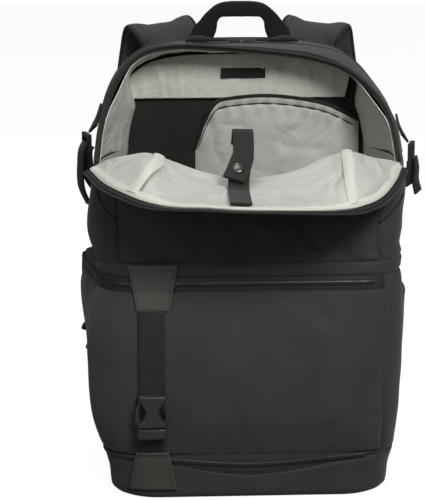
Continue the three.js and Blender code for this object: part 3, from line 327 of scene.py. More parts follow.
def cloth(name, colour, pitch=0.9, weave=0.35, rough=0.85, sheen=0.15, mottle=0.16, wrinkle=0.0, ribs=False):
    # Woven cloth: pitch of the threads in mm, depth of weave, mottled colour and soft wrinkles.
    material, tree, shader = newMaterial(name)
    shader.inputs["Roughness"].default_value = rough
    shader.inputs["Sheen Weight"].default_value = sheen
    shader.inputs["Sheen Roughness"].default_value = 0.45
    shader.inputs["Specular IOR Level"].default_value = 0.3
    coords = node(tree, "ShaderNodeTexCoord")
    scale = 2 * math.pi / (20 * pitch / 1000)
    threads = []
    for direction in "XY":
        wave = node(tree, "ShaderNodeTexWave", bands_direction=direction, Scale=scale, Distortion=0.6)
        wave.inputs["Detail"].default_value = 1.0
        tree.links.new(coords.outputs["UV"], wave.inputs["Vector"])
        threads.append(wave.outputs["Fac"])
    woven = threads[1] if ribs else math2(tree, "MULTIPLY", threads[0], threads[1])
    patches = node(tree, "ShaderNodeTexNoise", Scale=26.0, Detail=5.0, Roughness=0.65)
    grain = node(tree, "ShaderNodeTexNoise", Scale=850.0, Detail=2.0)
    for texture in (patches, grain):
        tree.links.new(coords.outputs["Object"], texture.inputs["Vector"])
    tone = math2(tree, "ADD", math2(tree, "MULTIPLY", patches.outputs["Fac"], 1.0),
                 math2(tree, "MULTIPLY", grain.outputs["Fac"], 0.45))
    mottled = tinted(tree, linear(colour), ranged(tree, tone, 1 - mottle, 1 + mottle, 0.45))
    tree.links.new(tinted(tree, mottled, ranged(tree, woven, 0.86, 1.1)), shader.inputs["Base Color"])
    height = math2(tree, "ADD", math2(tree, "MULTIPLY", woven, weave),
                   math2(tree, "MULTIPLY", grain.outputs["Fac"], 0.3))
    bump = node(tree, "ShaderNodeBump", Strength=0.6, Distance=0.0004)
    tree.links.new(height, bump.inputs["Height"])
    if wrinkle:
        folds = node(tree, "ShaderNodeTexNoise", Scale=34.0, Detail=3.0, Roughness=0.55, Distortion=1.4)
        tree.links.new(coords.outputs["Object"], folds.inputs["Vector"])
        large = node(tree, "ShaderNodeBump", Strength=wrinkle, Distance=0.006)
        tree.links.new(folds.outputs["Fac"], large.inputs["Height"])
        tree.links.new(large.outputs["Normal"], bump.inputs["Normal"])
    tree.links.new(bump.outputs["Normal"], shader.inputs["Normal"])
    return material


def moulded(name, colour, rough=0.42, metal=0.0, grain=0.12):
    # Moulded plastic or plated metal with a fine cast texture.
    material, tree, shader = newMaterial(name)
    shader.inputs["Metallic"].default_value = metal
    coords = node(tree, "ShaderNodeTexCoord")
    speck = node(tree, "ShaderNodeTexNoise", Scale=1400.0, Detail=2.0)
    worn = node(tree, "ShaderNodeTexNoise", Scale=90.0, Detail=4.0)
    for texture in (speck, worn):
        tree.links.new(coords.outputs["Object"], texture.inputs["Vector"])
    tree.links.new(tinted(tree, linear(colour), ranged(tree, worn.outputs["Fac"], 0.82, 1.22)),
                   shader.inputs["Base Color"])
    tree.links.new(ranged(tree, worn.outputs["Fac"], rough - 0.1, rough + 0.12), shader.inputs["Roughness"])
    bump = node(tree, "ShaderNodeBump", Strength=grain, Distance=0.0003)
    tree.links.new(speck.outputs["Fac"], bump.inputs["Height"])
    tree.links.new(bump.outputs["Normal"], shader.inputs["Normal"])
    return material


# Colours in hexadecimal, and the pitch of the threads in mm
finishes = {
    "charcoal": cloth("charcoalCloth", "3c3a38"),
    "dark": cloth("darkCloth", "2b2b29", mottle=0.2),
    "webbing": cloth("webbing", "1e2321", pitch=1.5, weave=0.9, rough=0.7, sheen=0.1, mottle=0.12, ribs=True),
    "tape": cloth("zipTape", "262a28", pitch=1.0, weave=0.5, rough=0.6, sheen=0.05, mottle=0.1),
    "lowTape": cloth("lowZipTape", "313432", pitch=1.0, weave=0.5, rough=0.65, sheen=0.05, mottle=0.1),
    "handle": cloth("handleWebbing", "0d0e0d", pitch=1.1, weave=0.7, rough=0.8, sheen=0.04, mottle=0.12),
    "tab": cloth("tabCloth", "4a4743", pitch=0.8, weave=0.5, rough=0.6, sheen=0.1, mottle=0.08),
    "binding": cloth("binding", "1d1e1b", pitch=1.1, weave=0.7, rough=0.75, mottle=0.12),
    "inner": cloth("innerCloth", "20211e", mottle=0.25),
    "lining": cloth("lining", "bfbdb7", pitch=0.6, weave=0.2, rough=0.5, sheen=0.1, mottle=0.05, wrinkle=0.35),
    "backLining": cloth("backLining", "cdccc2", pitch=0.6, weave=0.2, rough=0.5, sheen=0.1, mottle=0.06,
                        wrinkle=0.5),
    "paleTape": cloth("paleTape", "cfd0c4", pitch=1.2, weave=0.7, rough=0.7, mottle=0.05),
    "thread": cloth("thread", "191b1a", pitch=0.5, weave=0.5, rough=0.6),
    "paleThread": cloth("paleThread", "b9b9b2", pitch=0.5, weave=0.5, rough=0.6),
    # zip coil: dark nylon, its colour lightened by a painted reflection of its gloss
    "coil": moulded("zipCoil", "2a2d2c", rough=0.35),
    "plastic": moulded("plastic", "2b2f2d", rough=0.38),
    "blackPlastic": moulded("blackPlastic", "1d1f1f", rough=0.4),
    "metal": moulded("gunmetal", "5a5a57", rough=0.34, metal=0.9),
}


# Mesh builders
def addMesh(name, verts, faces, finish, uv=None, nodes=(), sharp=48):
    # A piece from vertices in mm, riding on the frame, standing for CAD nodes if any are given.
    mesh = bpy.data.meshes.new(name)
    mesh.from_pydata(((np.asarray(verts) + shift) / 1000).tolist(), [], [tuple(f) for f in faces])
    if uv is not None:
        layer = mesh.uv_layers.new(name="UVMap")
        index = np.zeros(len(mesh.loops), int)
        mesh.loops.foreach_get("vertex_index", index)
        layer.data.foreach_set("uv", (np.asarray(uv)[index] / 1000).ravel())
    mesh.shade_smooth()
    mesh.set_sharp_from_angle(angle=math.radians(sharp))
    mesh.materials.append(finishes[finish])
    piece = bpy.data.objects.new(name, mesh)
    bpy.context.scene.collection.objects.link(piece)
    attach(piece, "root")
    if nodes:
        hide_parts(*nodes)
    return piece


def gridFaces(nu, nv, offset=0, flip=False):
    a = offset + (np.arange(nu - 1)[:, None] * nv + np.arange(nv - 1)).ravel()
    quads = np.stack([a, a + nv, a + nv + 1, a + 1], 1)
    return quads[:, ::-1] if flip else quads


def facesOut(verts, quads, caps=()):
    # The faces, turned so that the closed body's volume is positive.
    v = np.asarray(verts) - np.mean(verts, 0)
    a, b, c, d = v[quads].transpose(1, 0, 2)
    total = np.sum(a * (np.cross(b, c) + np.cross(c, d)))
    for cap in caps:
        ring = v[cap]
        total += np.sum(ring[0] * np.cross(ring[1:-1], ring[2:]))
    faces = quads.tolist() + [list(cap) for cap in caps]
    return faces if total > 0 else [f[::-1] for f in faces]


grids = {}


def shell(name, outer, inner, finish, nodes=(), uv=None, sharp=48):
    # A closed sheet from two matching grids.
    nu, nv = outer.shape[:2]
    count = nu * nv
    verts = np.vstack([outer.reshape(-1, 3), inner.reshape(-1, 3)])
    edge = np.concatenate([np.arange(nu) * nv, (nu - 1) * nv + np.arange(1, nv),
                           np.arange(nu - 2, -1, -1) * nv + nv - 1, np.arange(nv - 2, 0, -1)])
    after = np.roll(edge, -1)
    rim = np.stack([after, edge, edge + count, after + count], 1)
    quads = np.vstack([gridFaces(nu, nv), gridFaces(nu, nv, count, flip=True), rim])
    if uv is None:
        u = lengths(outer[:, nv // 2])
        v = lengths(outer[nu // 2])
        uv = np.stack(np.meshgrid(u, v, indexing="ij"), -1)
    uv = uv.reshape(-1, 2)
    grids[name] = (nu, nv)
    return addMesh(name, verts, facesOut(verts, quads), finish, np.vstack([uv, uv]), nodes, sharp)


def loft(name, rings, finish, nodes=(), sharp=48):
    # A closed body through rings of points.
    rings = np.asarray(rings, float)
    nu, nv = rings.shape[:2]
    verts = rings.reshape(-1, 3)
    a = (np.arange(nu - 1)[:, None] * nv + np.arange(nv)).ravel()
    b = (np.arange(nu - 1)[:, None] * nv + (np.arange(nv) + 1) % nv).ravel()
    quads = np.stack([a, b, b + nv, a + nv], 1)
    caps = [np.arange(nv)[::-1], (nu - 1) * nv + np.arange(nv)]
    around = lengths(np.vstack([rings[nu // 2], rings[nu // 2][:1]]))[:-1]
    uv = np.stack(np.meshgrid(lengths(rings.mean(1)), around, indexing="ij")[::-1], -1).reshape(-1, 2)
    return addMesh(name, verts, facesOut(verts, quads, caps), finish, uv, nodes, sharp)


def frames(points, across):
    # Unit directions along, across and up for a line of points.
    along = np.gradient(points, axis=0)
    along /= np.linalg.norm(along, axis=1)[:, None]
    across = across - along * np.sum(across * along, 1)[:, None]
    across = across / np.linalg.norm(across, axis=1)[:, None]
    up = np.cross(along, across)
    return along, across, up


def roundedSection(edge, half, deep, steps=4):
    # A flat section with rounded ends, as across and up in mm.
    points = []
    for side, start in ((1, -90), (-1, 90)):
        for k in range(steps + 1):
            angle = math.radians(start + 180 * k / steps)
            points.append((side * (half - edge) + edge * math.cos(angle), deep * math.sin(angle)))
    return points


def cushionSection(count, wide, tall):
    # A plump section between -1 and 1 both ways; the smaller the power, the squarer the side
    angles = np.linspace(0, 2 * math.pi, count, endpoint=False)
    return [(math.copysign(abs(math.cos(a)) ** wide, math.cos(a)),
             math.copysign(abs(math.sin(a)) ** tall, math.sin(a))) for a in angles]


def strap(name, points, across, width, thickness, finish, nodes=(), count=40, section=None, widths=None):
    # A flat strap along a smooth line. across is one direction or one for each given point.
    line = centripetal(points)
    shares = np.linspace(0, 1, count + 1)
    at = atShares(line, shares)
    across = np.asarray(across, float)
    if across.ndim == 1:
        across = np.tile(across, (len(at), 1))
    elif len(across) != len(at):
        across = atShares(across, shares)
    _, side, up = frames(at, across)
    half = np.full(count + 1, width / 2) if widths is None else widths * width / 2
    rings = []
    for k in range(count + 1):
        if section is None:
            profile = roundedSection(thickness / 2, half[k], thickness / 2)
        else:
            profile = [(a * half[k], b * thickness / 2) for a, b in section]
        rings.append([at[k] + side[k] * a + up[k] * b for a, b in profile])
    return loft(name, rings, finish, nodes)


def tube(name, points, radius, finish, nodes=(), sides=8, step=4.0, closed=False):
    # A round piping or cord along a line; radius is a number or one for each point of the line.
    line = np.asarray(points, float)
    count = max(3, int(lengths(line)[-1] / step))
    shares = np.linspace(0, 1, count + 1)
    radii = np.full(count + 1, radius) if np.isscalar(radius) else np.interp(
        shares, np.linspace(0, 1, len(radius)), radius)
    at = atShares(line, shares)
    along = np.gradient(at, axis=0)
    along /= np.linalg.norm(along, axis=1)[:, None]
    side = np.cross(along[0], [0.31, 0.52, 0.79])
    rings = []
    for k in range(count + 1):
        side = side - along[k] * np.dot(side, along[k])
        side /= np.linalg.norm(side)
        other = np.cross(along[k], side)
        rings.append([at[k] + radii[k] * (math.cos(a) * side + math.sin(a) * other)
                      for a in np.linspace(0, 2 * math.pi, sides, endpoint=False)])
    return loft(name, rings, finish, nodes)


def repeated(name, unitVerts, unitFaces, places, axes, finish, nodes=()):
    # Many copies of one small shape, placed by origin and by three directions.
    unit = np.asarray(unitVerts, float)
    verts = []
    faces = []
    for place, (a, b, c) in zip(places, axes):
        offset = len(verts) * len(unit)
        verts.append(place + unit[:, :1] * a + unit[:, 1:2] * b + unit[:, 2:] * c)
        faces += [tuple(offset + i for i in f) for f in unitFaces]
    return addMesh(name, np.vstack(verts), faces, finish, None, nodes, 40)


lozenge = ([(-1, 0, 0), (1, 0, 0), (0, -1, 0), (0, 1, 0), (0, 0, -1), (0, 0, 1)],
           [(0, 4, 2), (0, 2, 5), (0, 5, 3), (0, 3, 4), (1, 2, 4), (1, 5, 2), (1, 3, 5), (1, 4, 3)])
tooth = ([(x, y, z) for x in (-1, 1) for y in (-1, -0.4, 0.4, 1) for z in (-1, 1)],
         [(0, 1, 3, 2), (2, 3, 5, 4), (4, 5, 7, 6), (8, 10, 11, 9), (10, 12, 13, 11), (12, 14, 15, 13),
          (0, 8, 9, 1), (6, 7, 15, 14), (0, 2, 10, 8), (2, 4, 12, 10), (4, 6, 14, 12),
          (1, 9, 11, 3), (3, 11, 13, 5), (5, 13, 15, 7)])
tooth = ([(x, y, z * (1 if abs(y) < 0.5 else 0.45)) for x, y, z in tooth[0]], tooth[1])


def stations(line, ups, pitch, reach):
    # Evenly spaced places on a line, with the directions ahead and up
    line = np.asarray(line, float)
    count = max(2, int(lengths(line)[-1] / pitch))
    shares = (np.arange(count) + 0.5) / count
    up = atShares(np.hstack([line, np.broadcast_to(ups, line.shape)]), shares)[:, 3:]
    ahead = atShares(line, np.clip(shares + reach, 0, 1)) - atShares(line, np.clip(shares - reach, 0, 1))
    ahead /= np.linalg.norm(ahead, axis=1)[:, None]
    return atShares(line, shares), ahead, up


def stitches(name, line, ups, finish="thread", pitch=3.6, dash=2.5, radius=0.42):
    # A row of stitches along a line of points with the surface's normals.
    at, ahead, up = stations(line, ups, pitch, 0.002)
    side = np.cross(up, ahead)
    axes = [(a * dash / 2, b * radius, c * radius) for a, b, c in zip(ahead, side, up)]
    return repeated(name, *lozenge, at, axes, finish)


def zipTeeth(name, line, ups, width=4.4, pitch=1.5, height=1.1, finish="coil"):
    # The coil of a zip along a line.
    at, ahead, up = stations(line, ups, pitch, 0.004)
    up /= np.linalg.norm(up, axis=1)[:, None]
    side = np.cross(up, ahead)
    axes = [(a * pitch * 0.34, b * width / 2, c * height) for a, b, c in zip(ahead, side, up)]
    return repeated(name, *tooth, at, axes, finish)


def unitGrid(nu, nv, low=0):
    # Shares from -1 to 1 down the rows and from low to 1 along the columns
    return np.linspace(-1, 1, nu)[:, None], np.linspace(low, 1, nv)[None, :]


def spaced(length, step, rim=(0.7, 1.6, 3.0, 5.0)):
    # Shares of a length with extra ones near both ends.
    count = max(2, round((length - 2 * rim[-1]) / step))
    inner = np.linspace(rim[-1], length - rim[-1], count + 1)
    low = [0, *rim[:-1]]
    return np.concatenate([low, inner, length - np.array(low)[::-1]]) / length


linerLean = {"in": 27, "frontY": -35, "run": 105, "low": 392, "rise": 42}


def rearLean(y, z):
    # How far the lining stands in from the side walls towards the rear
    rearward = smooth((y - linerLean["frontY"]) / linerLean["run"])
    return linerLean["in"] * rearward * (1 - smooth((z - linerLean["low"]) / linerLean["rise"]))


def valueAt(given, at):
    return given(at) if callable(given) else given


def panel(name, start, end, lowEdge, highEdge, finish, nodes=(), relief=None, thickness=5, step=6,
          roll=2.4, rollWidth=2.2, lift=0.0):
    # A panel of the body wall with rolled edges. start and end are laterals, numbers or functions of height.
    middle = (valueAt(lowEdge, 0.0) + valueAt(highEdge, 0.0)) / 2
    first, last = float(valueAt(start, middle)), float(valueAt(end, middle))
    us = spaced(last - first, step)
    near = first + (last - first) * us
    zLow = np.broadcast_to(valueAt(lowEdge, near), near.shape) + 0.2
    zHigh = np.broadcast_to(valueAt(highEdge, near), near.shape) - 0.2
    vs = spaced(float(np.median(zHigh - zLow)), step)
    z = zLow[:, None] + (zHigh - zLow)[:, None] * vs
    a = np.broadcast_to(valueAt(start, z), z.shape) + 0.2
    b = np.broadcast_to(valueAt(end, z), z.shape) - 0.2
    lateral = a + (b - a) * us[:, None]
    fromEnd = np.minimum(us, 1 - us)[:, None] * (b - a)
    fromEdge = np.minimum(vs, 1 - vs)[None] * (zHigh - zLow)[:, None]
    edge = np.minimum(fromEnd, fromEdge)
    out = (relief(lateral, z) if relief else 0 * z) * smooth(edge / 14)
    out = out + (lift(lateral, z) if callable(lift) else lift)
    if name == "doorPanel":
        out = out + doorSwell(lateral, z)
    rolled = out - roll * np.exp(-(edge / rollWidth) ** 2)
    outer = wall(lateral, z, rolled)
    inner = wall(lateral, z, np.minimum(out, rolled + thickness) - thickness)
    piece = shell(name, outer, inner, finish, nodes, np.stack([lateral, z], -1))
    return piece


# Soft relief of a padded wall: dents about as long as given, in mm
def softRelief(seed, large=1.1, small=0.35, largeSize=70, smallSize=22):
    def relief(lateral, z):
        p = wall(lateral, z, 0)
        return large * lattice(p, largeSize, seed) + small * lattice(p, smallSize, seed + 1)
    return relief


def wallNormal(lateral, z):
    return wall(lateral, z, 1.0) - wall(lateral, z, 0.0)


def asSheet(piece):
    # Returns the piece unchanged; it stands for a sewn sheet, whose flat area is its own, since it was cut to this
    # shape
    return piece


def inflate(piece, held, pressure=2.0, cap=4.0, spread=0.0, count=14, keep=None):
    # The cloth settles over its filling: held vertices stay and the others move by no more than cap, in mm
    start = np.empty(len(piece.data.vertices) * 3)
    piece.data.vertices.foreach_get("co", start)
    start = start.reshape(-1, 3)
    group = piece.vertex_groups.new(name="held")
    group.add(np.flatnonzero(held).tolist(), 1.0, "REPLACE")
    modifier = piece.modifiers.new("Filling", "CLOTH")
    settings = modifier.settings
    settings.quality = 6
    settings.mass = 0.25
    settings.tension_stiffness = settings.compression_stiffness = 20
    settings.shear_stiffness = 8
    settings.bending_stiffness = 1.5
    settings.use_pressure = True
    settings.uniform_pressure_force = pressure
    settings.shrink_min = -spread
    settings.vertex_group_mass = "held"
    settings.effector_weights.gravity = 0
    modifier.collision_settings.use_collision = False
    modifier.point_cache.frame_start = 1
    modifier.point_cache.frame_end = count
    scene = bpy.context.scene
    for number in range(1, count + 1):
        scene.frame_set(number)
    settled = piece.evaluated_get(bpy.context.evaluated_depsgraph_get()).to_mesh()
    end = np.empty(len(settled.vertices) * 3)
    settled.vertices.foreach_get("co", end)
    move = end.reshape(-1, 3) - start
    size = np.linalg.norm(move, axis=1)[:, None] + 1e-12
    move *= cap / 1000 * np.tanh(size / cap * 1000) / size
    if keep is not None:
        move *= keep(start * 1000 - shift)[:, None]
    piece.modifiers.remove(modifier)
    piece.data.vertices.foreach_set("co", (start + move).ravel())
    piece.data.update()
    scene.frame_set(1)
    print("settled", piece.name, "by up to", round(1000 * float(np.abs(move).max()), 1), "mm")


def faceOf(piece):
    # The vertices of a shell that its filling can't move: the rim and the inner side
    nu, nv = grids[piece.name]
    held = np.ones((2, nu, nv), bool)
    held[0, 2:-2, 2:-2] = False
    return held.ravel()


# Base
def baseRing(low, share, out, count=150):
    z0 = mix(low, body["baseSide"], share)
    side = float(sectionAt(z0)[0])
    radius = body["rearRadius"]
    end = float(lateralEnd(z0, rearY - radius))
    lateral = np.linspace(-end, end, count)
    z = mix(low, baseTop(lateral) - 0.2, share)
    front = wall(lateral, z, out)
    arc = []
    for angle in np.linspace(0, math.pi / 2, 9)[1:]:
        reach = radius + out
        arc.append([side - radius + reach * math.cos(angle), rearY - radius + reach * math.sin(angle), z0])
    arc = np.array(arc)
    rear = [[x, rearY + out, z0] for x in np.linspace(side - radius, radius - side, 30)[1:-1]]
    mirrored = arc[::-1] * [-1, 1, 1]
    return np.vstack([front, arc, rear, mirrored])


base = {"floor": 5, "roll": 2.2}
rings = []
for low, share, out in ((0, 0, -9), (0, 0, -3.5), (0.9, 0, -1.4), (2.6, 0, -0.4), (6, 0, 0)):
    rings.append(baseRing(low, share, out))
for share in np.linspace(0.08, 0.93, 14):
    rings.append(baseRing(6, share, 0))
for share, out in ((0.965, -0.3), (0.985, -1.0), (1.0, -base["roll"]), (1.0, -body["wall"] + 0.4),
                   (0.97, -body["wall"]), (0.2, -body["wall"])):
    rings.append(baseRing(6, share, out))
rings.append(baseRing(base["floor"], 0, -body["wall"] - 3))
rings = np.array(rings)
dents = 0.9 * lattice(rings, 60, 11) + 0.5 * lattice(rings, 21, 12)
dents = dents * smooth((rings[..., 2] - 4) / 12)
outward = rings * [1, 1, 0]
outward /= np.linalg.norm(outward, axis=-1)[..., None] + 1e-9
rings[:19] += (outward * dents[..., None])[:19]
loft("baseTub", rings, "charcoal", ["base_tub"])

# Door and its zips
doorWaves = softRelief(21, 1.0, 0.3, 80, 24)
doorPiece = panel("doorPanel", doorStart, door["hinge"], body["doorLow"], body["doorTop"], "charcoal",
                  ["door_panel"], doorWaves, step=4)
inflate(doorPiece, faceOf(doorPiece), 1.0, 3.0, 0.012, keep=lambda p: smooth((np.abs(p[:, 0] + 100) - 28) / 12))


def zipRelief(centre):
    def relief(lateral, z):
        d = z - centre(lateral)
        return 1.1 * np.exp(-((np.abs(d) - 4.2) / 1.1) ** 2) - 0.5 * np.exp(-(d / 2.4) ** 2)
    return relief


def wallZip(name, start, end, lowEdge, highEdge, finish, nodes, centre):
    panel(name, start, end, lowEdge, highEdge, finish, nodes, zipRelief(centre), thickness=2, step=4, roll=0.6,
          lift=-0.6)


zipTopZ = (body["doorTop"] + body["bandLow"]) / 2
wallZip("doorZipTop", doorStart, door["hinge"], body["doorTop"], body["bandLow"], "tape", ["door_zip_top"],
        lambda lateral: zipTopZ)
teethEnd = 125
lateral = np.linspace(float(doorStart(zipTopZ)) + 2, teethEnd, 240)
zipTeeth("doorTeethTop", wall(lateral, zipTopZ, 0.1), wallNormal(lateral, zipTopZ))


def lowZipZ(lateral):
    return (baseTop(lateral) + body["doorLow"]) / 2


wallZip("doorZipBottom", doorStart, door["hinge"], baseTop, body["doorLow"], "lowTape", ["door_zip_bottom"],
        lowZipZ)
lateral = np.linspace(float(doorStart(50)) + 2, teethEnd - 8, 240)
zipTeeth("doorTeethBottom", wall(lateral, lowZipZ(lateral), 0.1), wallNormal(lateral, lowZipZ(lateral)))

panel("doorZipSide", lambda z: doorStart(z) - door["zip"], doorStart, body["baseSide"], body["bandLow"], "tape",
      ["door_zip_side"], None, thickness=2, step=5, roll=0.6, lift=-0.4)
z = np.linspace(body["baseSide"] + 2, body["bandLow"] - 2, 90)
lateral = doorStart(z) - door["zip"] / 2
zipTeeth("doorTeethSide", wall(lateral, z, 0.3), wallNormal(lateral, z))

# Fixed lower walls and the band over them
panel("lowerSideLeft", lambda z: -sideEnd(z), lambda z: doorStart(z) - door["zip"], body["baseSide"],
      body["bandLow"], "charcoal", ["lower_side_left"], softRelief(31))
panel("lowerSideRight", door["hinge"], sideEnd, body["baseSide"], body["bandLow"], "charcoal",
      ["lower_side_right"], softRelief(33, 1.4, 0.5, 60, 20))
panel("midBand", lambda z: -sideEnd(z), sideEnd, body["bandLow"], body["bandTop"], "charcoal", ["mid_band"],
      softRelief(35, 0.5, 0.3, 50, 16), roll=1.8, rollWidth=1.6)

# Side pocket with an elastic edge
pocket = {"frontY": -62, "rearY": 48, "low": 56, "high": 200, "puff": 8, "stand": 2.4}


def pocketPuff(lateral, z):
    start = lateralEnd(z, pocket["frontY"])
    u = np.clip((lateral - start) / (lateralEnd(z, pocket["rearY"]) - start), 0, 1)
    v = (z - pocket["low"]) / (pocket["high"] - pocket["low"])
    return pocket["stand"] + pocket["puff"] * np.sin(math.pi * u) ** 0.7 * smooth(v * 1.1)


def pocketGrid(lift):
    us = spaced(110, 4)[:, None]
    z = mix(pocket["low"], pocket["high"], spaced(144, 4))[None, :] + 0 * us
    start, end = lateralEnd(z, pocket["frontY"]), lateralEnd(z, pocket["rearY"])
    lateral = start + (end - start) * us
    p = wall(lateral, z, 0)
    swell = pocketPuff(lateral, z)
    fade = smooth(np.minimum(us, 1 - us) * 8)
    gather = 0.7 * np.sin(lateral * 1.1) * smooth((z - 182) / 14) * fade
    out = swell + lift + fade * (0.9 * lattice(p, 40, 41) + gather)
    return wall(lateral, z, out), lateral, z, out


outer, lateral, z, out = pocketGrid(0)
inner = pocketGrid(-1.6)[0]
sidePocket = shell("sidePocket", outer, inner, "charcoal", ["side_pocket"])
asSheet(sidePocket)
rim = wall(lateral[:, -1], z[:, -1], out[:, -1] - 0.8)
tube("pocketEdge", rim, 1.7, "binding", sides=10)

# The lid, folded forward. Rows by station across, from hinge to hinge.
lid = {"reach": 119, "fold": 18, "drop": 37, "sag": 6, "corner": 52, "thick": 4, "zip": 6, "fit": 0.9}
lidRows = {
    "across": [-1, -0.93, -0.8, -0.66, -0.5, -0.33, -0.12, 0.1, 0.3, 0.5, 0.64, 0.8, 0.93, 1],
    "fold": [0, 0.45, 0.83, 1, 0.55, 0.05, -0.33, -0.28, 0.05, 0.75, 1, 0.6, 0.28, 0],
    "rootBack": [0.92, 0.58, 0.3, 0.21, 0.13, 0.06, 0, 0, 0.06, 0.16, 0.21, 0.31, 0.6, 0.92],
    "reach": [0.13, 0.4, 0.68, 0.87, 0.95, 0.98, 1, 1, 0.98, 0.93, 0.84, 0.62, 0.33, 0.13],
    "hemDrop": [0.04, 0.38, 0.65, 0.82, 0.65, 0.4, 0.25, 0.3, 0.5, 0.88, 1, 0.72, 0.35, 0.04],
    "edge": [1.04, 1.02, 1, 1, 1, 1, 1, 1, 1, 1, 1, 1, 1, 1],
    "sag": [0, 0.2, 0.3, -0.5, 1, 0.7, 0.5, 0.7, 0.8, 0.8, -0.5, 0.3, 0.2, 0],
}
lidHalf = float(sectionAt(body["hinge"])[0]) - 3
lidFront = float(sectionAt(body["hinge"])[1])


def lidPoint(across, outward):
    across, outward = np.broadcast_arrays(np.asarray(across, float), np.asarray(outward, float))
    row = {key: column(lidRows["across"], lidRows[key], across) for key in lidRows if key != "across"}
    x = across * lidHalf * mix(1, row["edge"], outward)
    y = -lidFront + row["rootBack"] * lid["corner"] - row["reach"] * lid["reach"] * outward
    dip = row["sag"] * lid["sag"] * np.sin(math.pi * np.clip(outward, 0, 1))
    z = (body["hinge"] + row["fold"] * lid["fold"]
         - row["hemDrop"] * lid["drop"] * np.maximum(outward, 0) ** 1.6 - dip)
    return np.stack([x, y, z], -1)


def lidNormal(across, outward):
    step = 0.01
    a, b = np.clip(across, -1 + step, 1 - step), np.clip(outward, step, 1 - step)
    across1, across0 = lidPoint(a + step, b), lidPoint(a - step, b)
    out1, out0 = lidPoint(a, b + step), lidPoint(a, b - step)
    normal = np.cross(out1 - out0, across1 - across0)
    normal /= np.linalg.norm(normal, axis=-1)[..., None]
    return np.where(normal[..., 2:] < 0, -normal, normal)


def lidOn(across, outward, lift=0.0):
    lift = np.asarray(lift, float)
    return lidPoint(across, outward) + lidNormal(across, outward) * (lift[..., None] if lift.ndim else lift)


lidAcross = np.linspace(-1, 1, 181)[:, None]
lidOut = np.linspace(0, 1, 61)[None, :]
lidFlat = lidPoint(lidAcross, lidOut)
away = smooth(np.minimum(lidOut, 1 - lidOut) * 7) * smooth((1 - np.abs(lidAcross)) * 9)
folds = (1.6 * lattice(lidFlat, 42, 51) + 0.8 * lattice(lidFlat, 17, 52)
         + 1.8 * creases(lidFlat * [1, 0.45, 1], 30, 53, 4.0)
         - 1.6 * creases(lidFlat * [1, 0.5, 1], 38, 54, 4.5))
folds = (folds - 0.3) * away
lining = shell("lidLining", lidOn(lidAcross, lidOut, folds), lidOn(lidAcross, lidOut, folds - 0.9), "lining")
asSheet(lining)
shell("lidShell", lidOn(lidAcross, lidOut, np.minimum(folds, 0) - 1.1), lidOn(lidAcross, lidOut, -lid["thick"]),
      "charcoal", ["lid"])


def hemLine(steps, beyond, lift):
    # Points beside the hem, beyond it by a distance and lifted along the lid's normal
    across = np.linspace(-1, 1, steps)
    step = 0.02
    a = np.clip(across, -1 + step, 1 - step)
    tangent = lidPoint(a + step, 1.0) - lidPoint(a - step, 1.0)
    tangent /= np.linalg.norm(tangent, axis=-1)[..., None]
    normal = lidNormal(across, 1.0)
    outward = np.cross(tangent, normal)
    outward /= np.linalg.norm(outward, axis=-1)[..., None]
    outward = np.where(outward[..., 1:2] > 0, -outward, outward)
    edge = lidOn(across, 1.0, lift)
    return edge + outward * beyond, normal, outward


def hemStrip(name, near, far, lift, thickness, finish, nodes=(), crown=0.0, steps=221, across=9):
    outer, inner = [], []
    for t in np.linspace(0, 1, across):
        rise = lift + crown * (1 - (2 * t - 1) ** 2)
        outer.append(hemLine(steps, mix(near, far, t), rise)[0])
        inner.append(hemLine(steps, mix(near, far, t), lift - thickness)[0])
    outer, inner = np.array(outer).transpose(1, 0, 2), np.array(inner).transpose(1, 0, 2)
    return shell(name, outer, inner, finish, nodes)


hemTape = hemStrip("hemTape", -8.5, 0.6, 0.5, 1.6, "paleTape", crown=1.0)
asSheet(hemTape)
hemStrip("lidZip", lid["fit"], lid["fit"] + lid["zip"], -1.0, 2.0, "tape", ["lid_zip"], crown=0.3)
line, normal, outward = hemLine(260, lid["fit"] + 3.4, -0.6)
zipTeeth("lidTeeth", line, normal, width=3.4)
line = hemLine(200, lid["fit"] + lid["zip"] + 0.3, -1.6)[0]
tube("lidPiping", line, 1.1, "binding", sides=8, step=5)
for beyond in (-7.2, -0.9):
    line, normal, outward = hemLine(200, beyond, 1.1)
    stitches("hemStitch" + ("Inner" if beyond < -5 else "Outer"), line, normal, "paleThread", radius=0.3)


def boundSeam(name, rows, width, lift):
    # A pale tape sewn over a seam of the lid, from the fold to the hem
    rows = np.asarray(rows, float)
    t = np.linspace(0, 1, 40)
    across = column(np.linspace(0, 1, len(rows)), rows[:, 0], t)
    outward = column(np.linspace(0, 1, len(rows)), rows[:, 1], t)
    outer, inner = [], []
    for side in np.linspace(-1, 1, 7):
        a = across + side * width / 2 / lidHalf
        rise = lift + 0.9 * (1 - side**2)
        outer.append(lidOn(a, outward, rise))
        inner.append(lidOn(a, outward, lift - 1.4))
    return shell(name, np.array(outer), np.array(inner), "paleTape")


seams = {
    "seamLeft": [(-0.59, 0.02), (-0.61, 0.3), (-0.68, 0.62), (-0.77, 0.95)],
    "seamRight": [(0.62, 0.02), (0.61, 0.35), (0.6, 0.7), (0.6, 0.97)],
}
for name, rows in seams.items():
    asSheet(boundSeam(name, rows, 10, 1.6))

# Upper walls below the lid's fold
corner = {"lateral": 134}
hingeLateral = float(lateralEnd(body["hinge"], body["hingeY"] + 0.4))


def wallTop(lateral):
    across = np.clip(wall(lateral, body["hinge"], 0)[..., 0] / lidHalf, -1, 1)
    under = body["hinge"] + column(lidRows["across"], lidRows["fold"], across) * lid["fold"] - lid["thick"] - 8
    return mix(under, body["hinge"], smooth((np.abs(lateral) - hingeLateral) / 5))


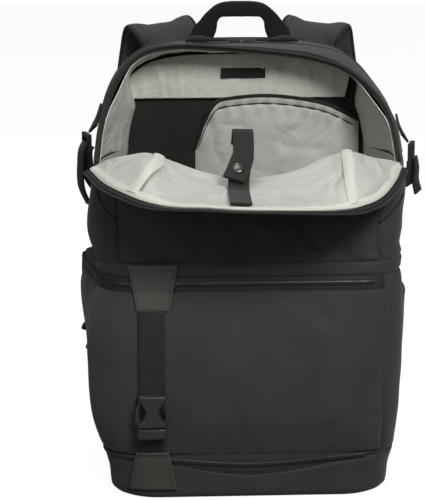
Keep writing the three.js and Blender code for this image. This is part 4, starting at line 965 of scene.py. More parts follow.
def frontRelief(lateral, z):
    p = wall(lateral, z, 0)
    slanted = p @ np.array([[0.8, 0, 0.6], [0, 1, 0], [-0.6, 0, 0.8]]).T
    return (1.5 * lattice(p, 60, 61) + 0.7 * lattice(p, 20, 62)
            - 2.2 * creases(slanted * [1, 1, 0.4], 34, 63, 4.5) + 1.2 * creases(slanted * [0.5, 1, 1], 30, 64, 4))


frontPiece = panel("upperFront", -corner["lateral"], corner["lateral"], body["bandTop"], wallTop, "charcoal",
                   ["upper_front"], frontRelief, step=4)
inflate(frontPiece, faceOf(frontPiece), 0.6, 4.0, 0.04)
panel("upperSideLeft", lambda z: -sideEnd(z), -corner["lateral"], body["bandTop"], wallTop, "charcoal",
      ["upper_side_left"], softRelief(65, 2.0, 0.8, 60, 20), step=5)
panel("upperSideRight", corner["lateral"], sideEnd, body["bandTop"], wallTop, "charcoal",
      ["upper_side_right"], softRelief(67, 2.0, 0.8, 60, 20), step=5)
for name, hand, far, high in (("cornerSeamLeft", -1, 163, 320), ("cornerSeamRight", 1, 168, 314)):
    t = smooth(np.linspace(0, 1, 30))
    line = wall(hand * mix(corner["lateral"] + 1, far, t), mix(high - 24, high, t ** 1.3), -0.4)
    tube(name, line, 1.3, "thread", sides=8)
upperLining = panel("upperLining", lambda z: -sideEnd(z) + 2, lambda z: sideEnd(z) - 2, 246,
                    lambda l: wallTop(l) - 1, "lining", (), softRelief(69, 0.8, 0.5, 40, 16), thickness=0.9,
                    roll=0.2,
                    lift=lambda l, z: -6.4 - rearLean(wall(l, z, 0)[..., 1], z))
asSheet(upperLining)


# Crown over the opening
def archBand(name, frontEdge, rearEdge, standoff, thickness, finish, nodes=(), relief=None, roll=0.0, rows=24,
             count=150):
    shares = np.linspace(0, 1, count + 1)
    height = archHeight(shares)
    front = frontEdge(height) + 0.2
    rear = rearEdge(height) - 0.2
    t = spaced(float(np.median(rear - front)), float(np.median(rear - front)) / rows) if roll else np.linspace(
        0, 1, rows)
    y = mix(front[:, None], rear[:, None], t[None, :])
    grid = np.broadcast_to(shares[:, None], y.shape)
    edge = np.minimum(t, 1 - t)[None, :] * (rear - front)[:, None]
    bare = arch(grid, y, 0)
    base = standoff(bare) if callable(standoff) else standoff
    out = base - roll * np.exp(-(edge / 2.2) ** 2) + (relief(bare) * smooth(edge / 12) if relief else 0)
    outer = leaned(arch(grid, y, out))
    inner = leaned(arch(grid, y, np.minimum(out, base) - thickness))
    for grid3 in (outer, inner):
        for end in (0, -1):
            grid3[end, :, 2] = np.maximum(grid3[end, :, 2], body["hinge"] + 0.4)
    return shell(name, outer, inner, finish, nodes)


rimWidth = 7
crownRelief = lambda p: 0.9 * lattice(p, 60, 71) + 0.35 * lattice(p, 20, 72)
crownPiece = archBand("crownGusset", lambda z: rimY(z) + rimWidth, lambda z: body["sideRearY"] + 0 * z, 0, 4.2,
                      "charcoal", ["crown_gusset"], crownRelief, roll=1.8)
crownLining = archBand("crownLining", lambda z: rimY(z) + 2, lambda z: body["dividerFrontY"] - 1 + 0 * z,
                       lambda p: -5.2 - rearLean(p[..., 1], p[..., 2]), 0.9, "backLining", (),
                       lambda p: 1.2 * lattice(p, 30, 73) - 1.5 * creases(p, 24, 74, 4.0))
asSheet(crownLining)
archBand("rimZip", rimY, lambda z: rimY(z) + rimWidth, -1, 2, "tape", ["rim_zip"], rows=8)


def rimLine(back, out, count=260):
    shares = np.linspace(0.004, 0.996, count)
    y = rimY(archHeight(shares)) + back
    line = leaned(arch(shares, y, out))
    normal = leaned(arch(shares, y, out + 1)) - line
    return line, normal


line, normal = rimLine(2.2, -0.4)
zipTeeth("rimTeeth", line, normal, width=3.4)
line, normal = rimLine(-0.4, -1.4)
tube("rimPiping", line, 1.1, "binding", sides=8, step=5)
line, normal = rimLine(rimWidth + 0.4, 0.1)
tube("rimSeam", line, 0.9, "dark", sides=8, step=5)
line, normal = rimLine(1.2, -4.4)
tube("rimInner", line, 1.1, "inner", sides=8, step=5)


# Plates that follow the bag's outline: the divider and the back panel
def plate(name, bottom, inset, front, rear, edge, finish, nodes=(), relief=None, coves=5):
    line = outline(bottom, inset)
    centre = line.mean(0)

    def ring(shrink, y):
        inward = centre - line
        inward /= np.linalg.norm(inward, axis=1)[:, None]
        p = line + inward * shrink
        return np.column_stack([p[:, 0], np.full(len(p), y), p[:, 1]])

    def cap(y, start, sign):
        made = []
        for t in np.linspace(0, 0.97, 16):
            p = mix(line, centre, t)
            inward = centre - line
            inward /= np.linalg.norm(inward, axis=1)[:, None]
            p = p + inward * start * (1 - t)
            grid3 = np.column_stack([p[:, 0], np.full(len(p), y), p[:, 1]])
            if relief is not None:
                grid3[:, 1] += sign * relief(grid3) * smooth(t * 10)
            made.append(grid3)
        return made

    rings = cap(front, edge, -1)[::-1]
    for a in np.linspace(0, math.pi / 2, coves):
        rings.append(ring(edge * (1 - math.sin(a)), front + edge * (1 - math.cos(a))))
    for a in np.linspace(0, math.pi / 2, coves):
        rings.append(ring(edge * (1 - math.cos(a)), rear - edge * (1 - math.sin(a))))
    rings += cap(rear, edge, 1)
    return loft(name, rings, finish, nodes)


board = plate("dividerBoard", 9, 8, body["dividerFrontY"], body["dividerRearY"], 1.5, "inner", ["divider_board"],
      lambda p: 0.7 * lattice(p, 50, 75))
backPiece = plate("backPanel", body["baseSide"] + 0.4, 0, body["panelFrontY"], rearY, 4, "dark", ["back_panel"],
      lambda p: 0.25 * lattice(p, 60, 76))
line = outline(body["baseSide"] + 2, 0.6)
line = np.column_stack([line[:, 0], np.full(len(line), rearY - 1.2), line[:, 1]])
tube("backPiping", line, 1.8, "binding", sides=10, step=5)


def band(name, front, rear, inset, thickness, finish, nodes=(), relief=None, roll=0.0):
    bottom = body["baseSide"] + 0.2
    depths = mix(front, rear, spaced(rear - front, 4) if roll else np.linspace(0, 1, 7))
    edge = np.minimum(depths - front, rear - depths)
    outer, inner = [], []
    for y, e in zip(depths, edge):
        bare = outline(bottom, inset)
        p = np.column_stack([bare[:, 0], np.full(len(bare), y), bare[:, 1]])
        out = (relief(p) * smooth(e / 10) if relief else np.zeros(len(p))) - roll * np.exp(-(e / 2.2) ** 2)
        step = outline(bottom, inset - 1) - bare
        q = bare + step * out[:, None]
        outer.append(np.column_stack([q[:, 0], p[:, 1], q[:, 1]]))
        q = bare - step * thickness
        inner.append(np.column_stack([q[:, 0], p[:, 1], q[:, 1]]))
    return shell(name, np.array(outer).transpose(1, 0, 2), np.array(inner).transpose(1, 0, 2), finish, nodes)


gussetPiece = band("laptopGusset", body["dividerRearY"] + 7, body["panelFrontY"] - 0.4, 0, 4, "charcoal",
                   ["laptop_gusset"], lambda p: 0.9 * lattice(p, 60, 77) + 0.3 * lattice(p, 20, 78), roll=1.8)
band("laptopZip", body["dividerRearY"] + 0.4, body["dividerRearY"] + 6.6, 1, 2, "tape", ["laptop_zip"])
line = outline(body["baseSide"] + 2, 1.0)
normals = outline(body["baseSide"] + 2, 0.0) - line
line = np.column_stack([line[:, 0], np.full(len(line), body["dividerRearY"] + 3.5), line[:, 1]])
zipTeeth("laptopTeeth", line, np.column_stack([normals[:, 0], 0 * normals[:, 0], normals[:, 1]]), width=3.6)

# Lining of the back, with soft upright folds
lineRow = outline(body["baseSide"], 11)
apex = np.argmax(lineRow[:, 1])
liningLow, liningRight = 391, 117
xLeft = np.interp(liningLow, lineRow[:apex, 1], lineRow[:apex, 0])
over = lineRow[lineRow[:, 1] > liningLow - 6]
xs = np.linspace(xLeft, liningRight, 121)[:, None]
top = np.interp(xs[:, 0], over[:, 0], over[:, 1])[:, None]
vs = np.linspace(0, 1, 31)[None, :]
zs = mix(liningLow, np.maximum(top, liningLow + 1), vs)
flat = np.stack([xs - 6 * (1 - vs) * smooth(xs / 110), 0 * zs, zs], -1)
away = smooth(np.minimum(vs, 1 - vs) * 6 + 0.2)
folds = (1.4 * lattice(flat, (16, 20, 60), 81) + 0.8 * lattice(flat, (8, 20, 40), 82)
         + 1.6 * creases(flat * [1, 1, 0.3], 18, 83, 4)) * away + 1.0
rear = body["dividerFrontY"] - 0.8
outer = np.stack([flat[..., 0], rear - 1.0 - np.maximum(folds, 0), zs], -1)
inner = np.stack([flat[..., 0], rear + 0 * zs, zs], -1)
backLining = shell("backLining", outer, inner, "backLining", ["back_lining"])
asSheet(backLining)
line = np.stack([flat[:, 0, 0], np.full(121, rear - 1.6), np.full(121, liningLow + 0.5)], -1)
tube("liningEdge", line, 1.0, "binding", sides=8)
curvedSeam = [(104, 3, 430), (117, 4, 417), (126, 4, 396), (131, 3, 366), (131, 2, 330)]
line = centripetal([(x, rear - stand, z) for x, stand, z in curvedSeam])
tube("liningSeam", line, 1.1, "binding", sides=8)

# Bare patch
patch = {"x": 1, "z": 419, "width": 48, "height": 11}
us, vs = unitGrid(25, 9, -1)
y = rear - 3.4 - 0.5 * np.cos(us * 1.3) + 0 * vs
xs, zs = patch["x"] + us * patch["width"] / 2 + 0 * vs, patch["z"] + vs * patch["height"] / 2 + 0 * us
outer = np.stack([xs, y, zs], -1)
shell("namePatch", outer, outer + [0, 1.0, 0], "binding", ["name_patch"])

# Organiser pocket: full, with a bound and gathered top edge
organiser = {"x": 38, "half": 89, "floor": 244.4, "high": 398, "depth": 15, "droop": 14, "droopFrom": 0.7}
organiserTop = {"across": [-1, -0.88, -0.76, -0.56, -0.15, 0.3, 0.62, 1],
                "up": [0.885, 0.945, 0.98, 0.993, 1, 0.99, 0.972, 0.927]}
us, vs = unitGrid(101, 61)
topEdge = column(organiserTop["across"], organiserTop["up"], us) * organiser["high"] - 3
# the left corner is rounded off: 0.164 is what the power gives at the pocket's side
topEdge = topEdge - organiser["droop"] * np.clip(-us - organiser["droopFrom"], 0, 1) ** 1.5 / 0.164
zs = mix(organiser["floor"], topEdge, vs)
depth = 2.4 + organiser["depth"] * (1 - us**4)
flat = np.stack([organiser["x"] + us * organiser["half"] + 0 * zs, 0 * zs, zs], -1)
under = topEdge - zs
gathers = 1.3 * np.sin(flat[..., 0] * 0.42 + 2 * lattice(flat, 40, 91)) * np.exp(-((under - 9) / 8) ** 2)
groove = -1.6 * np.exp(-((under - 7.5) / 1.6) ** 2)
waves = 2.0 * lattice(flat, (30, 20, 55), 92) + 0.9 * lattice(flat, 16, 93) - 1.5 * creases(flat, 30, 94, 4)
swell = depth + (gathers + groove + waves * smooth(under / 30)) * smooth((1 - np.abs(us)) * 6)
y = body["dividerFrontY"] - np.maximum(swell, 1.6)
outer = np.stack([flat[..., 0], y, zs], -1)
organiserPiece = shell("organiserPocket", outer, outer + [0, 1.2, 0], "lining", ["organiser_pocket"])
asSheet(organiserPiece)
line = np.stack([flat[:, -1, 0], y[:, -1] + 0.6, topEdge[:, 0] + 1.0], -1)
tube("pocketBinding", line, 2.0, "binding", ["pocket_binding"], sides=10)
line = np.stack([flat[:, -1, 0], y[:, -1] - 0.6, topEdge[:, 0] - 7.5], -1)
tube("pocketSeam", line + [0, 1.4, 0], 0.7, "thread", sides=6)

# Floor of the top compartment
us, vs = unitGrid(61, 41)
ySpan = mix(-84.0, body["dividerFrontY"] - 0.8, vs)
side, front = [float(v) for v in sectionAt(241)]
reach = side - 5.6 - np.clip(body["frontRadius"] - 5.6 - (ySpan + front - 5.6), 0, None) * 0.9
flat = np.stack([us * reach, ySpan + 0 * us, 0 * us * reach], -1)
zs = 244.2 + 1.2 * lattice(flat, 50, 95)
outer = np.stack([flat[..., 0], flat[..., 1], zs], -1)
shell("dividerFloor", outer, outer - [0, 0, 3.5], "inner", ["divider_floor"])

print("stage: body and lid built")


# Pieces that lie on the front of the bag
def lying(name, centre, high, low, halfHigh, halfLow, lift, thickness, finish, nodes=(), columns=25, rows=60,
          relief=0.0):
    side = np.linspace(-1, 1, columns)[:, None]
    t = spaced(high - low, (high - low) / rows, (0.5, 1.0, 1.8, 3.0))[None, :]
    z = mix(low, high, t) + 0 * side
    half = mix(halfLow, halfHigh, t)
    lateral = centre + side * half
    edge = np.minimum((1 - np.abs(side)) * half, np.minimum(t, 1 - t) * (high - low))
    out = doorSwell(lateral, z) + lift
    grain = relief * lattice(wall(lateral, z, 0), 24, 101) * smooth(edge / 6)
    outer = wall(lateral, z, out + thickness - 1.0 * np.exp(-(edge / 0.9) ** 2) + grain)
    inner = wall(lateral, z, out)
    return shell(name, outer, inner, finish, nodes, np.stack([lateral, z], -1))


def onFront(lateral, z, lift):
    lateral, z = np.broadcast_arrays(np.asarray(lateral, float), np.asarray(z, float))
    return wall(lateral, z, doorSwell(lateral, z) + lift)


strapColumn = {"x": -101, "half": 13, "lift": 0.6, "top": 249, "topLow": 204, "bottomHigh": 55, "bottomLow": 12,
               "buckleTop": 121, "buckleLength": 36}
columnX = strapColumn["x"]
half = strapColumn["half"]
lying("tabTop", columnX + 2, strapColumn["top"], strapColumn["topLow"], half + 12, half + 3, 0.6, 2.8, "tab",
      ["tab_top"], relief=0.5)
lying("tabBottom", columnX, strapColumn["bottomHigh"], strapColumn["bottomLow"], half + 3.5, half + 12, 0.6, 2.8,
      "tab", ["tab_bottom"], relief=0.5)
lying("webbingUpper", columnX, strapColumn["topLow"] - 0.4, strapColumn["buckleTop"] - 2, half, half, 0.6, 2.4,
      "webbing", ["webbing_upper"])
lying("webbingLower", columnX, strapColumn["buckleTop"] - strapColumn["buckleLength"] - 8,
      strapColumn["bottomHigh"] + 0.4, half, half, 0.6, 2.4, "webbing", ["webbing_lower"])


def frontStitch(name, points, lift, pitch=3.4):
    points = np.asarray(points, float)
    shares = np.linspace(0, 1, 80)
    path = atShares(points, shares)
    line = onFront(path[:, 0], path[:, 1], lift)
    return stitches(name, line, wallNormal(path[:, 0], path[:, 1]), "thread", pitch)


tab = strapColumn
def threeSides(centre, openHalf, closedHalf, openZ, closedZ):
    return [(centre - openHalf, openZ), (centre - closedHalf, closedZ), (centre + closedHalf, closedZ),
            (centre + openHalf, openZ)]


frontStitch("tabTopStitch", threeSides(columnX + 2, half + 9, half + 0.5, tab["top"] - 2, tab["topLow"] + 3), 3.5)
frontStitch("tabBottomStitch",
            threeSides(columnX, half + 9, half + 1, tab["bottomLow"] + 2, tab["bottomHigh"] - 3), 3.5)
frontStitch("webbingStitch", [(columnX - half + 2, 141), (columnX + half - 2, 141)], 3.2, 2.6)
frontStitch("webbingBoxStitch", threeSides(columnX, half - 2, half - 2, 126, 137), 3.2, 2.6)

# Side-release buckle: a waisted housing, two springing arms and the lower bar
buckle = {"rear": float(wall(columnX, tab["buckleTop"] - tab["buckleLength"] / 2, 10)[1]) - 1, "thick": 11}


def buckleBody(name, zs, halves, front, nodes):
    us, ts = unitGrid(41, 61)
    z = mix(zs[0], zs[-1], ts) + 0 * us
    half = column(zs, halves, z)
    edge = np.minimum((1 - np.abs(us)) * half, np.minimum(ts, 1 - ts) * (zs[-1] - zs[0]))
    y = front + 1.6 * us**4 + 2.0 * np.exp(-(edge / 0.9) ** 2)
    outer = np.stack([columnX + us * half, y, z], -1)
    inner = np.stack([columnX + us * half, buckle["rear"] + 0 * y, z], -1)
    return shell(name, outer, inner, "plastic", nodes)


front = buckle["rear"] - buckle["thick"]
buckleRows = {
    "Housing": ([87, 91, 95, 100, 105, 111, 116, 121], [14.6, 14, 10.5, 7.8, 7.6, 11, 14.2, 13.6]),
    "Bar": ([75, 77, 81, 86.6], [13.2, 14.4, 15, 14.6]),
}
buckleBody("buckleHousing", *buckleRows["Housing"], front, ["buckle_female"])
buckleBody("buckleBar", *buckleRows["Bar"], front + 1.2, ["buckle_male"])
armRows = [(12, 88), (14.6, 93), (15.4, 99), (14.8, 105), (12.6, 111), (11.5, 114)]
for word, hand in (("Left", -1), ("Right", 1)):
    arm = centripetal([(columnX + hand * out, buckle["rear"] - 5, z) for out, z in armRows])
    tube("buckleArm" + word, arm, [2.2, 2.4, 2.2, 2.0, 1.8], "plastic", sides=12, step=1.5)
horn = [(columnX + 13.2, front + 4, 118), (columnX + 14.4, front + 4, 123), (columnX + 15, front + 4.5, 126)]
tube("buckleHorn", horn, [1.8, 1.6, 1.1], "plastic", sides=10, step=1.5)

# Handle: webbing folded round a soft core
handle = {"band": 20, "thick": 5, "rise": 32, "feet": 84, "y": 99.5, "gap": 3}
handleRows = [(-1, 0), (-0.985, 0.14), (-0.88, 0.38), (-0.76, 0.7), (-0.56, 0.94), (-0.26, 1), (0, 1)]
handleRows += [(-out, up) for out, up in handleRows[-2::-1]]
points = [(out * handle["feet"] / 2, handle["y"], body["height"] + handle["gap"] + up * handle["rise"])
          for out, up in handleRows]
line = centripetal(points)
tangent = np.gradient(line, axis=0)
sideways = np.cross([0, 1, 0], tangent)
soft = cushionSection(28, 0.5, 0.7)
widths = column([0, 0.1, 0.24, 0.38, 0.5], [1.3, 1.15, 0.75, 0.84, 0.86], 0.5 - np.abs(np.linspace(-0.5, 0.5, 71)))
strap("handle", points, sideways, handle["band"], handle["thick"] + 1, "handle", ["handle"], 70, soft, widths)
shares = np.linspace(0.02, 0.98, 120)
at = atShares(line, shares)
side = atShares(sideways, shares)
side /= np.linalg.norm(side, axis=1)[:, None]
for k, offset in enumerate((-6.5, 6.5)):
    stitches(f"handleStitch{k}", at + side * offset + [0, -2.9, 0], np.tile([0, -1, 0], (120, 1)), pitch=3.2)
for k, hand in enumerate((-1, 1)):
    foot = np.array([[hand * handle["feet"] / 2 + s * 12.5, handle["y"] - 1, body["height"] + 0.5]
                     for s in (-1, -0.4, 0.4, 1)])
    strap(f"handleFoot{k}", foot, [0, 1, 0], 8, 2.4, "handle", (), 14)

# Shoulder straps: padded, bound along both edges
shoulder = {"width": 66, "thick": 13, "reach": 110, "stand": 47, "anchorOut": 128, "anchorZ": 78}
shoulderRows = {
    "out": [0.564, 0.655, 0.764, 0.845, 0.891, 0.945, 1, 1, 0.955, 0.909],
    "back": [0.17, 0.255, 0.447, 0.745, 0.915, 0.979, 1, 0.936, 0.809, 0.702],
    "up": [0.925, 0.98, 1.018, 1.012, 0.955, 0.86, 0.74, 0.6, 0.47, 0.37],
    "twist": [0, 4, 10, 18, 16, 10, 4, 0, 0, 0],
    "width": [0.9, 0.97, 1, 1, 1, 1, 1, 0.96, 0.88, 0.7],
}
steps = 90
padShape = cushionSection(40, 0.45, 0.8)


def shoulderFrame(hand):
    points = [(hand * o * shoulder["reach"], rearY + b * shoulder["stand"], u * body["height"])
              for o, b, u in zip(shoulderRows["out"], shoulderRows["back"], shoulderRows["up"])]
    line = centripetal(points)
    shares = np.linspace(0, 1, steps + 1)
    at = atShares(line, shares)
    index = np.arange(len(points))
    twist = np.radians(column(index, shoulderRows["twist"], shares * index[-1]))
    widths = column(index, shoulderRows["width"], shares * index[-1])
    across = np.stack([np.cos(twist), 0 * twist, -hand * np.sin(twist)], -1)
    along, side, up = frames(at, across)
    return at, side, up, widths


for word, hand in (("Left", -1), ("Right", 1)):
    at, side, up, widths = shoulderFrame(hand)
    rings = []
    for k in range(steps + 1):
        w = widths[k] * shoulder["width"] / 2 - 1
        t = shoulder["thick"] / 2
        ring = [at[k] + side[k] * a * w + up[k] * b * t for a, b in padShape]
        rings.append(ring)
    rings = np.array(rings)
    rings += up[:, None, :] * (0.5 * lattice(rings, 40, 111 + hand))[..., None]
    pad = loft("shoulderStrap" + word, rings, "charcoal", ["shoulder_strap_" + word.lower()])
    along = np.repeat(np.arange(steps + 1), len(padShape))
    edge = np.tile(np.abs([a for a, b in padShape]), steps + 1)
    inflate(pad, (along < 3) | (along > steps - 3) | (edge > 0.93), 1.5, 2.0, 0.015)
    for edge, name in ((-1, "Inner"), (1, "Outer")):
        line = at + side * (widths * shoulder["width"] / 2 - 0.6)[:, None] * edge
        tube("shoulderBinding" + word + name, line, 2.6, "binding", sides=10, step=5)
    for edge in (-1, 1):
        for face, faceName in ((1, "Out"), (-1, "In")):
            line = at + side * (widths * shoulder["width"] / 2 - 7.5)[:, None] * edge + up * face * (
                shoulder["thick"] / 2 - 0.1)
            stitches(f"shoulderStitch{word}{faceName}{'A' if edge < 0 else 'B'}", line, up * face, pitch=4)
    end = at[-1]
    lockZ = end[2] - 17
    anchorX = hand * shoulder["anchorOut"]
    webTop = lockZ - 17 + 4
    webPoints = [(end[0], end[1], webTop), (end[0], end[1] - 1, webTop - 10),
                 (mix(end[0], anchorX, 0.35), mix(end[1], rearY + 6, 0.4), mix(webTop, shoulder["anchorZ"], 0.5)),
                 (anchorX, rearY + 7, shoulder["anchorZ"] + 2)]
    strap("shoulderWeb" + word, webPoints, [1, 0, 0], 25, 2.2, "webbing", ["shoulder_web_" + word.lower()], 40)
    us, vs = unitGrid(25, 25)
    tabHigh = shoulder["anchorZ"] - 7
    xs = anchorX + us * mix(24, 14, vs)
    zs = mix(tabHigh - 26, tabHigh, vs) + 0 * us
    edge = np.minimum((1 - np.abs(us)) * 19, np.minimum(vs, 1 - vs) * 26)
    outer = np.stack([xs, rearY + 3.4 - 1.2 * np.exp(-(edge / 1.2) ** 2), zs], -1)
    inner = np.stack([xs, rearY + 0.4 + 0 * xs, zs], -1)
    shell("anchorTab" + word, outer, inner, "charcoal", ["anchor_tab_" + word.lower()])


# Back pads and lumbar pad: crowned cushions with a sewn border
def backPad(name, x, z, width, height, stands, channels=()):
    us, vs = unitGrid(61, 91, -1)
    # a square mapped to a rounded one
    power = 0.16
    xs = us * (1 - power * vs**8) * width / 2
    zs = vs * (1 - power * (width / height) * us**8) * height / 2
    edge = np.minimum((1 - np.abs(us)) * width / 2, (1 - np.abs(vs)) * height / 2)
    crown = 8.6 * np.clip(1 - np.exp(-edge / 6.0), 0, 1)
    for at in channels:
        crown = crown - 3.0 * np.exp(-((zs - at) / 3.2) ** 2) * smooth(edge / 10)
    flat = np.stack([x + xs, 0 * xs, z + zs], -1)
    crown = np.maximum(crown + 0.35 * lattice(flat, 26, 121) * smooth(edge / 12), 0.4)
    outer = np.stack([x + xs, rearY + 0.5 + crown, z + zs], -1)
    inner = np.stack([x + xs, rearY + 0.4 + 0 * xs, z + zs], -1)
    piece = shell(name, outer, inner, "dark", [stands])
    inflate(piece, faceOf(piece), 1.5, 1.6, 0.02)
    border = np.vstack([outer[:, 0], outer[-1, 1:], outer[::-1, -1][1:], outer[0, ::-1][1:]])
    tube(name + "Binding", border + [0, 0.4, 0], 1.4, "binding", sides=8, step=5)


backPad("backPadLeft", -60, 275, 92, 216, "back_pad_left", (-54, 0, 54))
backPad("backPadRight", 60, 275, 92, 216, "back_pad_right", (-54, 0, 54))
backPad("lumbarPad", 0, 106, 218, 92, "lumbar_pad", (0,))

# Snap strap on the lid, with its tab
snap = {"across": -0.1, "lift": 4, "width": 21, "thick": 2.2}
snapUpper = [(-13, -146, 348), (-9, -133, 359), (-8, -121, 371), (-8, -109, 381), (-8, -99, 381), (-9, -96, 366)]
points = [lidOn(snap["across"], outward, snap["lift"]) for outward in (0.96, 0.8, 0.6, 0.46)]
points = np.vstack([np.reshape(points, (-1, 3)), snapUpper])
strap("snapStrap", points, [1, 0.05, -0.05], snap["width"], snap["thick"], "binding", ["snap_strap"], 90)
points = np.array([(-20, -164, 343), (-15, -151, 350.5), (-9, -135, 361)])
strap("snapTab", points, [1, 0.05, -0.12], snap["width"] + 1, snap["thick"] + 0.4, "binding", ["snap_tab"], 40)
tabLine = centripetal(points)
tabUp = np.array([0, -0.6, 0.8])
for k, offset in enumerate((-8.6, 8.6)):
    line = atShares(tabLine, np.linspace(0.08, 0.92, 30)) + [offset, 0, offset * -0.1] + tabUp * 1.4
    stitches(f"snapStitch{k}", line, np.tile(tabUp, (30, 1)), pitch=3)


def turned(name, profile, centre, axis, finish, nodes=(), sides=32):
    # A body turned round an axis from radius and height pairs
    axis = np.asarray(axis, float) / np.linalg.norm(axis)
    side = np.cross(axis, [0.2, 0.9, 0.3])
    side /= np.linalg.norm(side)
    other = np.cross(axis, side)
    angles = np.linspace(0, 2 * math.pi, sides, endpoint=False)
    rings = [[np.asarray(centre) + axis * h + r * (math.cos(a) * side + math.sin(a) * other) for a in angles]
             for r, h in profile]
    return loft(name, rings, finish, nodes, sharp=35)


buttonProfile = [(0.5, -1.4), (5.8, -1.4), (6.3, -0.9), (6.3, -0.1), (5.7, 0.5), (4.9, 0.8), (4.4, 0.5),
                 (3.6, 0.75), (2.2, 1.2), (0.4, 1.35)]
turned("snapButton", buttonProfile, points[1] + tabUp * 2.6, tabUp, "metal", ["snap_button"])

# Side straps: webbing, hanging tail
def sideX(z, y, hand):
    if z <= body["hinge"]:
        side = float(sectionAt(z)[0])
    else:
        rise = archLine[:len(archLine) // 2]
        side = -float(np.interp(z, rise[:, 2], rise[:, 0]))
    return float(settle(np.array(hand * side), np.array(float(y)), np.array(float(z))))


# A web's rows are out from the wall, back, up from the hinge as a share of the arch and turn; a tail's are
# out, back, up and turn from the middle of its lock
sideRows = {
    "Left": (-1, [(4.2, 36, 0.389, 0), (4.4, 26, 0.333, 0.05), (6, 15, 0.231, 0.2)],
             [(4, 4, 3, 0.3), (8, 3, -5, 0.35), (9.5, 3, -21, 0.4), (9, 3, -45, 0.4), (2, 4, -63, 0.3)]),
    "Right": (1, [(2.2, 38, 0.259, 0), (2.6, 28, 0.204, 0.05), (6, 17, 0.111, 0.2)],
              [(6, 4, -3, 0.3), (7.5, 4, -15, 0.4), (7, 5, -28, 0.5), (10, 6, -41, 0.6)]),
}
sideLock = {"drop": 15, "stand": 9, "inset": 6.5}
archRise = body["height"] - body["hinge"]
for word, (hand, webRows, tailRows) in sideRows.items():
    backEnd, upEnd = webRows[-1][1:3]
    lockY, lockZ = backEnd - 4, body["hinge"] + upEnd * archRise - sideLock["drop"]
    lockX = max(abs(sideX(lockZ + dz, lockY, hand)) for dz in (-11, 0, 11)) + sideLock["stand"]
    web = [(sideX(body["hinge"] + up * archRise, back, hand) + hand * out, back, body["hinge"] + up * archRise)
           for out, back, up, turn in webRows[:-1]]
    web.append((hand * (lockX - sideLock["inset"]), backEnd, lockZ + sideLock["drop"]))
    strap("sideWeb" + word, web, [(hand * row[3], 1, 0) for row in webRows], 20, 2.6, "webbing",
          ["side_web_" + word.lower()], 30)
    tail = [(hand * (lockX + out - 3), back, lockZ + up) for out, back, up, turn in tailRows]
    across = [(hand * row[3], 1, 0) for row in tailRows]
    strap("sideTail" + word, tail, across, 18, 3.2, "webbing", ["side_tail_" + word.lower()], 50)
    doubled = [(x - hand * (5 + 1.2 * k), y - 3, z - 3 + 4 * k) for k, (x, y, z) in enumerate(tail)]
    strap("sideFold" + word, doubled, [(hand * (row[3] + 0.25), 1, 0) for row in tailRows], 20, 3.2, "webbing",
          (), 50)

# Zip pulls
pulls = [(15, 0, 1.3), (26, 0.2, 1.5), (38, 0.8, 2.2), (48, 1.6, 3.6), (57, 0.6, 3.4), (61, -0.4, 2.0)]
pullY = body["dividerRearY"] + 3.5 - 1
pullZ = body["height"] - 1 + 0.4 + 2 + 0.4 + 1.4
for word, hand in (("Left", -1), ("Right", 1)):
    line = centripetal([(hand * out, pullY, pullZ + up) for out, up, radius in pulls])
    radii = column(range(len(pulls)), [row[2] for row in pulls], np.linspace(0, len(pulls) - 1, len(line)))
    tube("laptopPull" + word, line, radii, "binding", ["laptop_pull_" + word.lower()], sides=14, step=1.2)
doorPulls = [(1.6, 3, 2.4), (6, 2, 3.0), (10, -2, 3.4), (12, -6, 2.6)]
for word, z in (("Upper", 150), ("Lower", 128)):
    wallX, y = wall(doorStart(z) - door["zip"] / 2, z, 0)[..., :2]
    line = centripetal([(wallX - out, y - 2, z + up) for out, up, radius in doorPulls])
    radii = column(range(4), [row[2] for row in doorPulls], np.linspace(0, 3, len(line)))
    tube("doorPull" + word, line, radii, "blackPlastic", ["door_pull_" + word.lower()], sides=14, step=1.0)

# Hard pieces keep their CAD shape, with rounded edges and a moulded finish
hard = {"strap_lock": "plastic", "side_lock": "plastic", "laptop_slider": "metal"}
hardEdge = 0.8
for kind, finish in hard.items():
    for word in ("left", "right"):
        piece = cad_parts[f"{kind}_{word}"]
        piece.data.materials.clear()
        piece.data.materials.append(finishes[finish])
        rounding = piece.modifiers.new("Rounding", "BEVEL")
        rounding.width = hardEdge / 1000
        rounding.segments = 3
        rounding.limit_method = "ANGLE"
        rounding.harden_normals = True

print("stage: straps and fittings built")

# Light and camera: white for the camera, a softer light for the bag
def forCamera(tree, others, camera):
    # One value for what the camera sees directly, another for the light that falls on the bag
    seen = tree.nodes.new("ShaderNodeLightPath").outputs["Is Camera Ray"]
    return ranged(tree, seen, others, camera)


world = bpy.data.worlds.new("studio")
world.use_nodes = True
tree = world.node_tree
tree.nodes["Background"].inputs["Color"].default_value = (1, 1, 1, 1)
tree.links.new(forCamera(tree, 0.13, 1.0), tree.nodes["Background"].inputs["Strength"])
bpy.context.scene.world = world

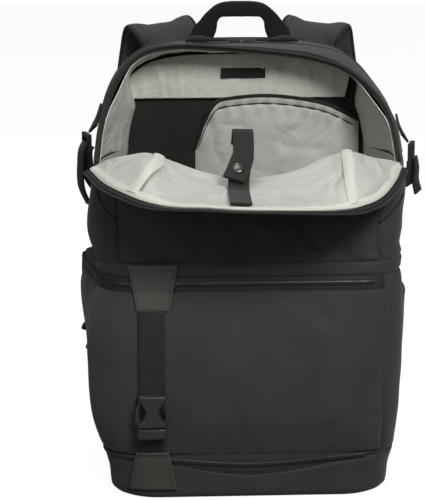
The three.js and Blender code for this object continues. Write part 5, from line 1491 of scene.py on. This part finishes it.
# A plain pale floor, brightened for the camera so that it runs into the white behind it
floorHalf = 6
ground = bpy.data.meshes.new("studioFloor")
ground.from_pydata([(floorHalf * x, floorHalf * y, 0) for x, y in ((-1, -1), (1, -1), (1, 1), (-1, 1))], [],
                   [(0, 1, 2, 3)])
paleFloor, tree, surface = newMaterial("paleFloor")
surface.inputs["Base Color"].default_value = (0.2, 0.2, 0.19, 1)
surface.inputs["Roughness"].default_value = 0.9
surface.inputs["Specular IOR Level"].default_value = 0
surface.inputs["Emission Color"].default_value = (1, 1, 1, 1)
tree.links.new(forCamera(tree, 0.0, 0.93), surface.inputs["Emission Strength"])
ground.materials.append(paleFloor)
studioFloor = bpy.data.objects.new("studioFloor", ground)
bpy.context.scene.collection.objects.link(studioFloor)


def areaLight(name, place, target, size, power):
    data = bpy.data.lights.new(name, "AREA")
    data.shape = "RECTANGLE"
    data.size, data.size_y = size
    data.energy = power
    lamp = bpy.data.objects.new(name, data)
    bpy.context.scene.collection.objects.link(lamp)
    lamp.location = place
    lamp.rotation_euler = (Vector(place) - Vector(target)).to_track_quat("Z", "Y").to_euler()


areaLight("key", (0.7, -2.05, 1.85), (0, 0, 0.25), (0.8, 0.8), 55)
areaLight("overhead", (-0.2, 0.1, 2.3), (0, 0, 0.3), (1.4, 1.0), 22)
areaLight("left", (-1.8, -1.6, 1.2), (0, 0, 0.25), (0.9, 1.2), 7)

# The camera of the photograph. Its frame, 500 pixels tall, is cut from a wider one: hence the shift
azimuth, elevation = math.radians(-3), math.radians(12)
cameraDistance = 2.0
frameHeight, focalPixels, shiftPixels = 500, 1917, (-34.83, -3.52)
aim = (np.array([0, -40, 250]) + shift) / 1000
back = np.array([math.sin(azimuth) * math.cos(elevation), -math.cos(azimuth) * math.cos(elevation),
                 math.sin(elevation)])
cameraData = bpy.data.cameras.new("camera")
cameraData.sensor_fit = "VERTICAL"
cameraData.sensor_height = 24
cameraData.lens = focalPixels / frameHeight * cameraData.sensor_height
cameraData.shift_x = shiftPixels[0] / frameHeight
cameraData.shift_y = shiftPixels[1] / frameHeight
camera = bpy.data.objects.new("camera", cameraData)
bpy.context.scene.collection.objects.link(camera)
camera.location = aim + back * cameraDistance
camera.rotation_euler = Vector(back).to_track_quat("Z", "Y").to_euler()
bpy.context.scene.camera = camera
bpy.context.scene.view_settings.view_transform = "Standard"

print("stage: scene ready")
